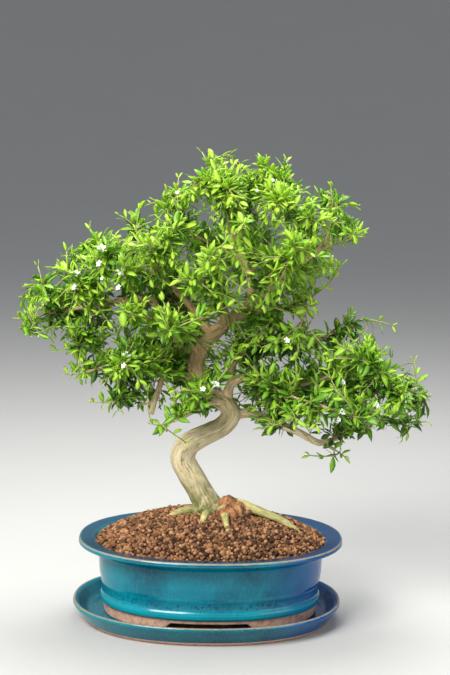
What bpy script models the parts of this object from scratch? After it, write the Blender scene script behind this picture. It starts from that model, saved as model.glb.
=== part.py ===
"""A serissa bonsai: glazed oval pot on a saucer, soil, bent trunk, leafy sprays and white blooms.

Sizes in this file are millimetres, and MM turns them into Blender's metres. The origin is on the surface
that the saucer stands on, under the middle of the pot. +X is to the viewer's right and +Y is away.
"""

import math
import random

import bmesh
import bpy
import numpy as np
from mathutils.bvhtree import BVHTree

MM = 0.001
GAP = 0.3
SEED = 11

# Pot and saucer. Both are ovals whose depth is their width less OVAL_CUT on each half axis.
OVAL_CUT = 28.6
OVAL_POWER = 2.2
OVAL_SIDES = 36
POT_HALF = 130.0
POT_RIM_Z = 82.8
POT_FOOT_Z = 8.3
POT_FOOT_TOP = 19.0
POT_UNDER_Z = 17.0
POT_FLOOR_Z = 22.0
SAUCER_HALF = 132.3
SAUCER_X = -3.3
SAUCER_FLOOR_Z = 8.0
DRAIN_X = 48.0
DRAIN_RADIUS = 9.0
ARCH_TOP = 37.0
ARCH_BOTTOM = 44.0
ARCH_Z = 16.0

# Soil mound and the mesh plates that lie under it.
SOIL_EDGE_Z = 76.0
SOIL_TOP_Z = 107.0
SOIL_POWER = 2.6
SOIL_HALF = 112.5
SOIL_RINGS = 8
SOIL_GRAIN = 1.5
PLATE_HALF = 17.0
PLATE_THICK = 1.2
PLATE_HOLES = 2

# Trunk: x, y, z and radius, from under the soil to the top of the crown.
TRUNK = [
    (3, 0, 62, 11), (2, 0, 84, 15.5), (0, 0, 103, 15.5), (-3, 1, 113, 13.4), (-8, 2, 121, 12.6),
    (-15, 2, 134, 12), (-23, 2, 148, 11.8), (-28, 1, 159, 12.2), (-25, 0, 170, 12), (-14.5, -1, 178.5, 10.8),
    (-1, -2, 185.6, 10), (11.7, -1, 192.7, 9.7), (18.6, 0, 203, 9.8), (14.4, 2, 213.6, 9.4),
    (4.5, 4, 220.4, 9), (-5.3, 5, 227.2, 8.8), (-13.2, 6, 238, 8.6), (-16.2, 6, 249.8, 8.5),
    (-14.4, 5, 261.6, 8.3), (-8.7, 3, 273.5, 7.9), (1, 1, 283.4, 7.3), (11.4, -1, 292.4, 6.4),
    (22, -3, 302, 5.4), (31, -2, 309, 4.8), (37, 3, 320, 4.3), (35, 7, 337, 3.9), (28, 8, 354, 3.5),
    (20, 7, 372, 3.1), (15, 4, 390, 2.7), (12, 2, 406, 2.3), (10, 1, 418, 2),
]

# Limbs: x, y, z and radius. Each starts inside the wood that it grows from.
LIMBS = {
    "left": [(-14, 5, 262, 6), (-31, 6, 271, 5), (-48, 4, 296, 4.3), (-62, 0, 316, 3.7), (-87, -3, 315, 3.1),
             (-104, -5, 311, 2.7), (-133, -6, 307, 2.2), (-152, -6, 304, 1.7)],
    "low_left": [(-15, 6, 243, 5), (-31, 4, 238, 4.2), (-41, 0, 243, 3.7), (-52, -4, 250, 3.2), (-76, -8, 253, 2.6),
                 (-100, -9, 251, 2), (-112, -10, 249, 1.6)],
    "dead_stub": [(-46, -1, 245, 2.8), (-51, -3, 232, 3), (-56, -6, 217, 2.8), (-59, -7, 204, 2.3)],
    "dead_fork": [(-55, -5, 219, 1.8), (-62, -8, 215, 1.7), (-68, -10, 215, 1.4)],
    "low_front": [(12, 1, 216, 4.6), (1, -14, 219, 3.4), (-13, -29, 215, 2.6), (-27, -38, 208, 1.9)],
    "right_mid": [(15, 2, 213, 6.2), (15.5, 0, 226, 5.2), (19, -2, 235.5, 4.6), (33, -4, 243, 3.9), (48, -6, 240, 3.5),
                  (67, -8, 234, 3.1), (93, -10, 238, 2.6), (120, -10, 246, 2.1), (150, -8, 249, 1.6)],
    "right_up": [(17, -1, 232, 4), (19, 4, 251, 3.4), (34, 10, 266, 2.9), (58, 14, 273, 2.5), (88, 14, 277, 2.1),
                 (112, 10, 280, 1.6)],
    "right_low": [(17, 0, 203, 7), (28, 0, 205, 5.2), (40, -1, 205, 4.5), (58, -4, 198, 4.1), (84, -8, 189, 3.6),
                  (104, -10, 179, 3.5), (118, -12, 183, 2.7), (140, -14, 194, 2.1), (160, -14, 203, 1.6)],
    "right_back": [(60, -3, 198, 3.2), (72, 18, 212, 2.8), (92, 38, 226, 2.3), (112, 46, 234, 1.7)],
    "right_front": [(46, -6, 240, 3), (58, -30, 236, 2.6), (80, -48, 229, 2.1), (104, -54, 224, 1.6)],
    "up_right": [(31, -2, 309, 4.2), (52, -6, 326, 3.5), (74, -8, 346, 3), (94, -8, 362, 2.4), (108, -6, 374, 1.8)],
    "up_right_low": [(20, -3, 300, 4.2), (48, -12, 307, 3.1), (72, -20, 313, 2.4), (88, -24, 319, 1.8)],
    "up_left": [(30, 8, 350, 3.2), (4, 8, 366, 2.7), (-18, 4, 378, 2.2), (-36, 0, 387, 1.7)],
    "mid_left": [(-2, 2, 281, 5.2), (-20, -4, 308, 3.9), (-45, -8, 334, 3.1), (-68, -10, 348, 2.5), (-86, -10, 354, 1.8)],
    "front": [(11, -1, 291, 4.6), (8, -24, 317, 3.3), (1, -46, 338, 2.5), (-6, -60, 350, 1.8)],
    "front_right": [(32, -2, 310, 3.8), (44, -28, 334, 3), (58, -48, 352, 2.3), (68, -58, 362, 1.7)],
    "front_left": [(-14, 4, 263, 5), (-22, -22, 284, 3.3), (-40, -44, 299, 2.5), (-56, -54, 305, 1.8)],
    "back": [(36, 7, 336, 3.4), (38, 33, 351, 2.8), (34, 56, 365, 2.2), (30, 70, 372, 1.6)],
    "back_left": [(-8, 3, 274, 4.8), (-28, 28, 298, 3.2), (-50, 48, 318, 2.5), (-68, 56, 328, 1.8)],
    "back_right": [(22, -2, 302, 4), (50, 24, 319, 3), (74, 44, 335, 2.3), (88, 50, 342, 1.7)],
    "back_low": [(-16, 6, 250, 4), (-32, 28, 254, 2.7), (-54, 42, 256, 2.1), (-70, 46, 253, 1.5)],
}

# Roots on the soil: x, y, height of the root's middle over the soil, and radius.
ROOTS = [
    [(2, -3, 1, 9), (22, -9, 3, 5.4), (38, -12, 2.6, 4.2), (54, -14, 2, 3.5), (72, -15, 1.4, 2.9), (88, -16, -3, 2)],
    [(-2, -1, 0, 8), (-18, -5, 1.6, 4.2), (-31, -8, 0.6, 3), (-43, -9, -4, 1.8)],
    [(0, -4, 0, 7), (-5, -20, 1.4, 3.4), (-9, -34, -3, 2)],
    [(4, -4, 0, 7), (13, -21, 1.6, 3.2), (15, -36, 0, 2.4), (18, -48, -4, 1.6)],
    [(2, 3, 0, 8), (-8, 20, 1.2, 4), (-20, 36, -4, 2.2)],
    [(4, 3, 0, 8), (20, 18, 1.4, 4), (38, 30, -4, 2.2)],
]
# Broken stump lumps at the foot, right of the trunk: x, y, height over the soil, and radius.
LUMPS = [(15, -9, 3, 7.5), (24, -5, 3.5, 6), (9, -13, 1, 5.5)]

# Sprays: limb, place along it from 0 to 1, and tips. Each spray's first tip ends its main shoot, the others
# end side shoots.
SPRAYS = [
    ("left", 1.0, [(-193, -8, 297), (-174, -32, 286)]),
    ("left", 0.93, [(-168, -14, 349), (-186, 12, 316)]),
    ("left", 0.8, [(-144, 22, 359), (-118, 32, 372)]),
    ("left", 0.66, [(-128, -40, 343)]),
    ("left", 0.74, [(-126, -34, 262), (-150, -20, 268)]),
    ("left", 0.84, [(-150, 52, 306)]),
    ("mid_left", 1.0, [(-120, 2, 384)]),
    ("mid_left", 0.9, [(-103, -46, 367), (-110, -40, 346)]),
    ("mid_left", 0.8, [(-73, 20, 402), (-92, 12, 396)]),
    ("mid_left", 0.7, [(-84, -66, 349)]),
    ("mid_left", 0.5, [(-56, -84, 378), (-34, -62, 392)]),
    ("up_left", 1.0, [(-45, -14, 420), (-62, 2, 408)]),
    ("up_left", 0.85, [(-35, 16, 434), (-46, 48, 412)]),
    ("trunk", 1.0, [(-13, 0, 458), (14, 22, 455)]),
    ("trunk", 0.97, [(10, -54, 430), (-14, -40, 436)]),
    ("trunk", 0.94, [(46, 56, 432)]),
    ("up_right", 0.8, [(44, -10, 451), (68, 0, 451)]),
    ("up_right", 1.0, [(110, -5, 428), (136, 10, 407)]),
    ("up_right", 0.9, [(142, -22, 384), (128, 44, 388)]),
    ("up_right", 0.6, [(88, -60, 408), (60, -52, 420)]),
    ("up_right_low", 1.0, [(118, -42, 354)]),
    ("up_right_low", 0.8, [(94, -62, 322), (84, -34, 300)]),
    ("front_right", 1.0, [(72, -102, 384), (98, -84, 366)]),
    ("front", 1.0, [(2, -112, 376), (28, -92, 398)]),
    ("front", 0.75, [(-34, -104, 348)]),
    ("front_left", 1.0, [(-84, -92, 320)]),
    ("front_left", 0.7, [(-38, -100, 300), (-10, -92, 312)]),
    ("back", 1.0, [(22, 114, 388), (60, 98, 396)]),
    ("back_left", 1.0, [(-98, 92, 348), (-66, 98, 366)]),
    ("back_right", 1.0, [(116, 88, 362), (102, 84, 322)]),
    ("low_left", 1.0, [(-140, -12, 244), (-122, 14, 264)]),
    ("low_left", 0.75, [(-82, -46, 266)]),
    ("low_left", 0.7, [(-90, -24, 211), (-112, -40, 222)]),
    ("back_low", 1.0, [(-106, 64, 244)]),
    ("low_front", 1.0, [(-56, -62, 206), (-26, -52, 188)]),
    ("low_front", 0.6, [(2, -64, 244), (-34, -70, 240)]),
    ("right_up", 1.0, [(134, 10, 302), (176, 4, 292)]),
    ("right_up", 0.66, [(86, -18, 292), (58, -6, 296)]),
    ("right_mid", 1.0, [(208, -10, 225), (197, 16, 258)]),
    ("right_mid", 0.86, [(182, -48, 232), (146, -52, 268)]),
    ("right_low", 1.0, [(206, -24, 204), (182, -34, 190)]),
    ("right_low", 0.64, [(129, -24, 168), (92, -30, 171)]),
    ("right_front", 1.0, [(143, -74, 217), (112, -82, 246)]),
    ("right_front", 0.5, [(78, -84, 212), (46, -58, 202)]),
    ("right_back", 1.0, [(150, 72, 228), (112, 76, 258)]),
]

# Blooms: number of the spray, number of its tip, and the bloom's width.
BLOOMS = [(1, 1, 6), (4, 0, 9), (8, 0, 9), (10, 0, 8), (17, 1, 6), (32, 0, 9), (36, 0, 9), (38, 0, 8),
          (40, 0, 10)]

LIMB_SIDES = 5
TWIG_RINGS = 3
GREEN_LENGTH = 46.0
STEM_HALF = 0.75
NODE_HALF = 0.8
BUD_LENGTH = 2.0
TIP_ROOM = 9.0
LEAF_LENGTHS = (12.0, 17.0)
LEAF_ASPECT = 0.38
LEAF_THICK = 0.9
LEAF_FOLD = 0.32
LEAF_DROOP = 0.16


def unit(vector):
    return vector / np.linalg.norm(vector)


def clear_scene():
    for thing in list(bpy.data.objects):
        bpy.data.objects.remove(thing, do_unlink=True)


def material(name, colour, roughness, metallic=0.0):
    found = bpy.data.materials.get(name) or bpy.data.materials.new(name)
    found.use_nodes = True
    shader = found.node_tree.nodes["Principled BSDF"]
    shader.inputs["Base Color"].default_value = (*colour, 1.0)
    shader.inputs["Roughness"].default_value = roughness
    shader.inputs["Metallic"].default_value = metallic
    return found


def new_object(name, points, faces, finish=None, collection=None):
    mesh = bpy.data.meshes.new(name)
    mesh.from_pydata((np.asarray(points, float) * MM).tolist(), [], [tuple(map(int, face)) for face in faces])
    mesh.update()
    made = bpy.data.objects.new(name, mesh)
    (collection or bpy.context.scene.collection).objects.link(made)
    if finish:
        mesh.materials.append(finish)
    return made


def smooth(made, degrees=35):
    made.data.shade_smooth()
    made.data.set_sharp_from_angle(angle=math.radians(degrees))


def boolean(target, operation, cutter=None, collection=None, solver="EXACT"):
    change = target.modifiers.new(operation.title(), "BOOLEAN")
    change.operation = operation
    change.solver = solver
    if collection:
        change.operand_type = "COLLECTION"
        change.collection = collection
    else:
        change.object = cutter
        cutter.hide_render = True
        cutter.display_type = "WIRE"


def apply_modifiers(made):
    """Puts the evaluated mesh in place of the base mesh, and drops the modifiers."""
    bpy.context.view_layer.update()
    graph = bpy.context.evaluated_depsgraph_get()
    mesh = bpy.data.meshes.new_from_object(made.evaluated_get(graph))
    made.modifiers.clear()
    made.data = mesh


def drop_collection(collection):
    for thing in list(collection.objects):
        bpy.data.objects.remove(thing, do_unlink=True)
    bpy.data.collections.remove(collection)


def new_collection(name):
    made = bpy.data.collections.new(name)
    bpy.context.scene.collection.children.link(made)
    return made


def oval(half, z, sides=OVAL_SIDES, centre_x=0.0):
    """Points of one level oval ring, counterclockwise seen from above."""
    angle = np.arange(sides) * 2 * math.pi / sides
    power = 2 / OVAL_POWER
    x = half * np.sign(np.cos(angle)) * np.abs(np.cos(angle)) ** power
    y = (half - OVAL_CUT) * np.sign(np.sin(angle)) * np.abs(np.sin(angle)) ** power
    return np.column_stack([x + centre_x, y, np.full(sides, z)])


def skin_rings(rings, bottom, top):
    """A closed shape through the rings, with a fan to a middle point at each end."""
    count = len(rings[0])
    points = np.vstack([*rings, [bottom], [top]])
    step = np.arange(count)
    after = (step + 1) % count
    faces = [(len(points) - 2, after[k], k) for k in range(count)]
    for level in range(len(rings) - 1):
        low, high = level * count, (level + 1) * count
        faces += list(zip(low + step, low + after, high + after, high + step))
    last = (len(rings) - 1) * count
    faces += [(last + k, last + after[k], len(points) - 1) for k in range(count)]
    return points, faces


def turned_oval(profile, bottom_z, top_z, centre_x=0.0):
    """An oval vessel: the profile's (half width, height) pairs, from the underside out and over to the inside."""
    rings = [oval(half, z, centre_x=centre_x) for half, z in profile]
    return skin_rings(rings, (centre_x, 0, bottom_z), (centre_x, 0, top_z))


def make_saucer():
    profile = [(118, 0), (121.5, 2.5), (130.5, 15.5), (SAUCER_HALF, 18), (131.3, 20.6), (128.6, 20.8), (126, 18.5),
               (120, 10), (117, SAUCER_FLOOR_Z)]
    points, faces = turned_oval(profile, 0, SAUCER_FLOOR_Z, SAUCER_X)
    smooth(new_object("saucer", points, faces, material("blue glaze", (0.03, 0.2, 0.28), 0.12)))


def make_pot():
    profile = [(96.5, POT_UNDER_Z), (96, POT_FOOT_Z), (104.5, POT_FOOT_Z), (106, POT_FOOT_TOP), (108.6, 21.5),
               (108.6, 26.5), (106.6, 29), (107, 35), (109.6, 50), (110.6, 71.5), (126, 76),
               (POT_HALF, 78.5), (129, POT_RIM_Z), (115, 81.6), (SOIL_HALF - 4, 74), (103, 25),
               (99, POT_FLOOR_Z)]
    points, faces = turned_oval(profile, POT_UNDER_Z, POT_FLOOR_Z)
    pot = new_object("pot", points, faces, material("teal glaze", (0.02, 0.28, 0.36), 0.15))
    for side in (-1, 1):
        boolean(pot, "DIFFERENCE", drain_cutter(side), solver="MANIFOLD")
    boolean(pot, "DIFFERENCE", arch_cutter(), solver="MANIFOLD")
    smooth(pot)


def drain_cutter(side):
    angle = np.arange(12) * math.pi / 6
    ring = np.column_stack([side * DRAIN_X + DRAIN_RADIUS * np.cos(angle), DRAIN_RADIUS * np.sin(angle), 0 * angle])
    low, high = POT_UNDER_Z - 3, POT_FLOOR_Z + 3
    rings = [ring + (0, 0, low), ring + (0, 0, high)]
    points, faces = skin_rings(rings, (side * DRAIN_X, 0, low), (side * DRAIN_X, 0, high))
    return new_object(f"drain_cutter_{side + 1}", points, faces)


def arch_cutter():
    """A wide trapezoid bar along Y, which opens the foot ring in front and behind."""
    reach = POT_HALF
    low = POT_FOOT_Z - 3
    section = [(-ARCH_BOTTOM, low), (ARCH_BOTTOM, low), (ARCH_TOP, ARCH_Z), (-ARCH_TOP, ARCH_Z)]
    points = [(x, y, z) for y in (-reach, reach) for x, z in section]
    faces = [(0, 1, 2, 3), (7, 6, 5, 4)] + [(k, 4 + k, 4 + (k + 1) % 4, (k + 1) % 4) for k in range(4)]
    return new_object("arch_cutter", points, faces)


def soil_height(x, y):
    """Height of the mound: highest by the trunk, and level with the inside of the rim at the wall."""
    out = (np.abs(x / SOIL_HALF) ** OVAL_POWER + np.abs(y / (SOIL_HALF - OVAL_CUT)) ** OVAL_POWER) ** (1 / OVAL_POWER)
    return SOIL_EDGE_Z + (SOIL_TOP_Z - SOIL_EDGE_Z) * (1 - np.minimum(out, 1) ** SOIL_POWER)


def make_soil(tree_foot):
    draw = np.random.default_rng(SEED)
    wall = SOIL_HALF - 4
    rings = [oval(98.5, POT_FLOOR_Z + GAP), oval(102.5, 25.2), oval(wall - GAP, 74)]
    for level in range(SOIL_RINGS):
        inner = 1 - level / SOIL_RINGS
        ring = oval(wall, 0)
        ring[:, :2] *= (inner if level else 0.99) + draw.uniform(-0.03, 0.03, (OVAL_SIDES, 1)) * (level > 0)
        ring[:, 2] = soil_height(ring[:, 0], ring[:, 1]) + draw.uniform(-SOIL_GRAIN, SOIL_GRAIN, OVAL_SIDES) * (level > 0)
        rings.append(ring)
    points, faces = skin_rings(rings, (0, 0, POT_FLOOR_Z + GAP), (0, 0, SOIL_TOP_Z))
    soil = new_object("soil", points, faces, material("baked clay grains", (0.2, 0.09, 0.05), 0.95))
    pockets = new_collection("pockets")
    for side in (-1, 1):
        size = PLATE_HALF + GAP
        new_box("pocket", (side * DRAIN_X, 0, POT_FLOOR_Z + GAP), (size, size, PLATE_THICK + GAP), pockets)
    boolean(soil, "DIFFERENCE", collection=pockets, solver="MANIFOLD")
    boolean(soil, "DIFFERENCE", tree_foot, solver="MANIFOLD")
    apply_modifiers(soil)
    drop_collection(pockets)
    keep_largest(soil)


def new_box(name, centre, halves, collection=None, finish=None):
    points = [[centre[i] + sign[i] * halves[i] for i in range(3)]
              for sign in [(-1, -1, -1), (1, -1, -1), (1, 1, -1), (-1, 1, -1), (-1, -1, 1), (1, -1, 1), (1, 1, 1), (-1, 1, 1)]]
    faces = [(3, 2, 1, 0), (4, 5, 6, 7)] + [(k, (k + 1) % 4, 4 + (k + 1) % 4, 4 + k) for k in range(4)]
    return new_object(name, points, faces, finish, collection)


def make_drain_mesh(name, side):
    """A square plastic plate over a drain hole, with rows of square holes."""
    finish = material("black mesh", (0.02, 0.02, 0.02), 0.5)
    bottom = POT_FLOOR_Z + GAP
    plate = new_box(name, (side * DRAIN_X, 0, bottom + PLATE_THICK / 2), (PLATE_HALF, PLATE_HALF, PLATE_THICK / 2), None, finish)
    pegs = new_collection("pegs")
    pitch = 2 * PLATE_HALF / (PLATE_HOLES + 0.4)
    for column in range(PLATE_HOLES):
        for row in range(PLATE_HOLES):
            x, y = ((place - (PLATE_HOLES - 1) / 2) * pitch for place in (column, row))
            new_box("peg", (side * DRAIN_X + x, y, bottom), (pitch * 0.36, pitch * 0.36, 4), pegs)
    boolean(plate, "DIFFERENCE", collection=pegs)
    apply_modifiers(plate)
    drop_collection(pegs)


def route(points, count=None, step=None):
    """Evenly spaced points on a smooth curve through the given ones. A fourth number is carried along."""
    held = np.asarray(points, float)
    ends = np.vstack([2 * held[0] - held[1], held, 2 * held[-1] - held[-2]])
    t = np.linspace(0, 1, 9)[:-1, None]
    parts = []
    for a, b, c, d in zip(ends[:-3], ends[1:-2], ends[2:-1], ends[3:]):
        parts.append(0.5 * (2 * b + (c - a) * t + (2 * a - 5 * b + 4 * c - d) * t**2 + (3 * b - a - 3 * c + d) * t**3))
    fine = np.vstack([*parts, held[-1:]])
    length = np.concatenate([[0], np.cumsum(np.linalg.norm(np.diff(fine[:, :3], axis=0), axis=1))])
    count = count or max(3, round(length[-1] / step) + 1)
    where = np.linspace(0, length[-1], count)
    return np.column_stack([np.interp(where, length, fine[:, k]) for k in range(fine.shape[1])])


def frames(points):
    """The direction along the path and a sideways direction at each point, turned as little as possible."""
    along = np.gradient(points[:, :3], axis=0)
    along /= np.linalg.norm(along, axis=1)[:, None]
    start = np.cross(along[0], (0.3, 0.9, 0.2))
    side = [unit(start)]
    for direction in along[1:]:
        side.append(unit(side[-1] - direction * side[-1].dot(direction)))
    return along, np.array(side)


def tube(points, sides, flutes=0.0, turn=0.0):
    """A closed tube of the path's radius. Flutes press three shallow hollows along it."""
    along, side = frames(points)
    over = np.cross(along, side)
    angle = turn + np.arange(sides) * 2 * math.pi / sides
    rings = []
    for centre, across, up in zip(points, side, over):
        size = centre[3] * (1 + flutes * np.cos(3 * angle))[:, None]
        rings.append(centre[:3] + size * (np.cos(angle)[:, None] * across + np.sin(angle)[:, None] * up))
    return closed_tube(rings)


def closed_tube(rings):
    count = len(rings[0])
    points = np.vstack(rings)
    faces = [tuple(range(count))[::-1], tuple(range(len(points) - count, len(points)))]
    for level in range(len(rings) - 1):
        low, high = level * count, (level + 1) * count
        faces += [(low + k, low + (k + 1) % count, high + (k + 1) % count, high + k) for k in range(count)]
    return points, faces


def limb_route(name):
    return route(LIMBS[name], max(4, len(LIMBS[name])))


def root_route(root, extra=0.0):
    points = [(x, y, soil_height(x, y) + rise, radius + extra) for x, y, rise, radius in root]
    return route(points, len(root) + 1)


def lump(x, y, rise, radius, extra=0.0):
    """A squat faceted knob."""
    rings = []
    for part, size in ((-0.8, 0.6), (0.0, 1.0), (0.75, 0.62)):
        angle = np.arange(6) * math.pi / 3 + radius
        wide, tall = size * radius + extra, part * (radius + extra)
        ring = np.column_stack([x + wide * np.cos(angle), y + wide * 0.8 * np.sin(angle),
                                np.full(6, soil_height(x, y) + rise + tall)])
        rings.append(ring)
    return closed_tube(rings)


def twig_curve(limb, place, tip):
    """A curve from the limb to the tip: it leaves forwards along the limb, sags and then turns up."""
    path = route(limb_control(limb), 60)
    at = min(int(place * 59), 58)
    start, forward = path[at, :3], unit(path[at + 1, :3] - path[at, :3])
    if place == 1.0:
        start = path[-1, :3] - forward * 3
    tip = np.asarray(tip, float)
    reach = np.linalg.norm(tip - start)
    middle = (start + tip) / 2 + forward * reach * 0.2 - np.array((0, 0, 0.1)) * reach
    t = np.linspace(0, 1, 41)[:, None]
    return (1 - t) ** 2 * start + 2 * t * (1 - t) * middle + t**2 * tip, path[at, 3]


def limb_control(limb):
    return TRUNK if limb == "trunk" else LIMBS[limb]


def arc_lengths(points):
    return np.concatenate([[0], np.cumsum(np.linalg.norm(np.diff(points, axis=0), axis=1))])


def read_curve(points, where):
    """Places and directions at the given distances along a curve."""
    length = arc_lengths(points)
    place = np.column_stack([np.interp(where, length, points[:, k]) for k in range(3)])
    slope = np.gradient(points, axis=0)
    slope = np.column_stack([np.interp(where, length, slope[:, k]) for k in range(3)])
    return place, slope / np.linalg.norm(slope, axis=1)[:, None]


def split_curve(curve, limb_radius):
    """How long the woody twig and the green stem are on one curve."""
    whole = arc_lengths(curve)[-1]
    green = min(GREEN_LENGTH, whole - limb_radius - 9)
    return whole - green, green - TIP_ROOM


class Taken:
    """Remembers what is placed, so that nothing is put through it."""

    def __init__(self):
        self.boxes = []
        self.trees = []

    def add(self, points, faces):
        points = np.asarray(points, float)
        self.boxes.append((points.min(axis=0), points.max(axis=0)))
        self.trees.append(BVHTree.FromPolygons(points.tolist(), [tuple(map(int, face)) for face in faces]))

    def meets(self, points, faces):
        points = np.asarray(points, float)
        low, high = points.min(axis=0), points.max(axis=0)
        tree = None
        for (other_low, other_high), other in zip(self.boxes, self.trees):
            if (low > other_high).any() or (high < other_low).any():
                continue
            tree = tree or BVHTree.FromPolygons(points.tolist(), [tuple(map(int, face)) for face in faces])
            if tree.overlap(other):
                return True
        return False


def square(centre, along, side, half):
    over = np.cross(along, side)
    return np.array([centre + half * (a * side + b * over) for a, b in ((-1, -1), (1, -1), (1, 1), (-1, 1))])


class Shoot:
    """A four-sided green stem. Odd gaps between its rings are leaf nodes."""

    def __init__(self, curve, start, length, nodes, side, base=None):
        stops = [] if base is not None else [start]
        for number in range(nodes):
            share = (number + 1) / nodes if nodes > 1 else 1.0
            at = start + length * (0.12 + 0.88 * share) - NODE_HALF
            stops += [at - NODE_HALF, at + NODE_HALF]
        places, self.along = read_curve(curve, np.array([*stops, stops[-1] + BUD_LENGTH]))
        rings = [] if base is None else [base]
        self.sides = []
        for place, direction in zip(places[:-1], self.along):
            side = unit(side - direction * side.dot(direction))
            self.sides.append(side)
            rings.append(square(place, direction, side, STEM_HALF))
        self.rings = rings
        self.tip = places[-1]
        self.skip = {}
        self.leaves = []
        self.children = []

    def body(self, first=0):
        points = np.vstack([*self.rings[first:], [self.tip]])
        count = len(self.rings) - first
        faces = [(3, 2, 1, 0)]
        for level in range(count - 1):
            faces += [(4 * level + k, 4 * level + (k + 1) % 4, 4 * level + 4 + (k + 1) % 4, 4 * level + 4 + k)
                      for k in range(4)]
        faces += [(4 * count - 4 + k, 4 * count - 4 + (k + 1) % 4, 4 * count) for k in range(4)]
        return points, faces

    def face(self, level, k):
        """The corners of one side face and its outward direction."""
        low, high = self.rings[level], self.rings[level + 1]
        corners = np.array([low[k], low[(k + 1) % 4], high[(k + 1) % 4], high[k]])
        out = unit(np.cross(corners[1] - corners[0], corners[3] - corners[0]))
        return corners, out


def leaf_rings(corners, out, length, tilt, thick=LEAF_THICK):
    """Two folded rings and the tip of a blade that leaves a stem's side face."""
    across = unit(corners[1] - corners[0])
    up = np.cross(out, across)
    along = math.cos(tilt) * up + math.sin(tilt) * out
    above = np.cross(along, across)
    middle = corners.mean(axis=0)
    rings = []
    for part, wide in ((0.4, 1.0), (0.72, 0.74)):
        centre = middle + along * length * part - above * LEAF_DROOP * length * part**2
        half = wide * length * LEAF_ASPECT / 2
        lift = above * LEAF_FOLD * half
        rings.append(np.array([centre - above * thick / 2, centre + across * half + lift,
                               centre + above * thick / 2, centre - across * half + lift]))
    return rings, middle + along * length - above * LEAF_DROOP * length


def leaf_body(corners, rings, tip, clear=0.0):
    """The blade as a closed shape that starts a little way off the stem."""
    start = corners + (rings[0] - corners) * 0.3 if clear else corners
    points = np.vstack([start, rings[0], rings[1], [tip]])
    faces = [(3, 2, 1, 0)]
    faces += [(4 * level + k, 4 * level + (k + 1) % 4, 4 * level + 4 + (k + 1) % 4, 4 * level + 4 + k)
              for level in range(2) for k in range(4)]
    faces += [(8 + k, 8 + (k + 1) % 4, 12) for k in range(4)]
    return points, faces


def plan_spray(number, limb, place, tips, taken):
    """The main shoot to the first tip and side shoots to the others, with every blade still to be placed."""
    curve, limb_radius = twig_curve(limb, place, tips[0])
    twig, green = split_curve(curve, limb_radius)
    _, (along,) = read_curve(curve, np.array([twig]))
    side = unit(np.cross(along, (0.2, 0.1, 1)))
    main = Shoot(curve, twig + GAP, green, 3, side)
    if taken.meets(*main.body()):
        print(f"spray {number}: its main shoot meets wood")
    taken.add(*main.body())
    shoots = [main]
    for order, end in enumerate(tips[1:]):
        shoot = side_shoot(main, np.asarray(end, float), taken)
        if shoot is None:
            print(f"spray {number}: side shoot {order + 1} left out")
            continue
        taken.add(*shoot.body(1))
        shoots.append(shoot)
    return shoots


def side_shoot(main, goal, taken):
    """Tries the free side faces of the lower nodes, best direction first, until a shoot is clear."""
    trials = []
    for level, free in ((1, (0, 2)), (3, (1, 3))):
        for k in free:
            if k in main.skip.get(level, ()):
                continue
            corners, out = main.face(level, k)
            middle = corners.mean(axis=0)
            trials.append((-unit(goal - middle).dot(out), level, k))
    for _, level, k in sorted(trials):
        corners, out = main.face(level, k)
        middle = corners.mean(axis=0)
        reach = np.linalg.norm(goal - middle)
        t = np.linspace(0, 1, 31)[:, None]
        bend = middle + (out + main.along[level] * 0.5) * reach * 0.3
        curve = (1 - t) ** 2 * middle + 2 * t * (1 - t) * bend + t**2 * goal
        length = arc_lengths(curve)[-1] - TIP_ROOM
        nodes = 1 if length < 22 else 2
        shoot = Shoot(curve, 0.0, length, nodes, unit(corners[1] - corners[0]), base=corners)
        if not taken.meets(*shoot.body(1)):
            main.skip.setdefault(level, set()).add(k)
            main.children.append((level, k, shoot))
            return shoot
    return None


def node_levels(shoot):
    return range(1, len(shoot.rings) - 1, 2)


def add_leaves(shoots, taken, draw):
    """Puts a pair of blades at each node, each pair a quarter turn from the last."""
    for shoot in shoots:
        levels = list(node_levels(shoot))
        for order, level in enumerate(levels):
            last = level == levels[-1]
            for k in ((0, 2) if (level // 2) % 2 == 0 else (1, 3)):
                if k in shoot.skip.get(level, ()):
                    continue
                length = draw.uniform(*LEAF_LENGTHS) * (0.9 if last else 1.0)
                tilt = math.radians(draw.uniform(30, 40) if last else draw.uniform(48, 68))
                place_leaf(shoot, level, k, length, tilt, taken)


def place_leaf(shoot, level, k, length, tilt, taken):
    corners, out = shoot.face(level, k)
    for size, turn in ((1, 0), (0.95, 0.22), (0.95, -0.15), (0.82, 0.4), (0.75, 0.1), (0.65, 0.3)):
        fat, fat_tip = leaf_rings(corners, out, length * size + 0.6, tilt + turn, LEAF_THICK + 0.5)
        if taken.meets(*leaf_body(corners, fat, fat_tip, clear=1.0)):
            continue
        rings, tip = leaf_rings(corners, out, length * size, tilt + turn)
        taken.add(*leaf_body(corners, rings, tip))
        shoot.skip.setdefault(level, set()).add(k)
        shoot.leaves.append((level, k, rings, tip))
        return


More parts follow.
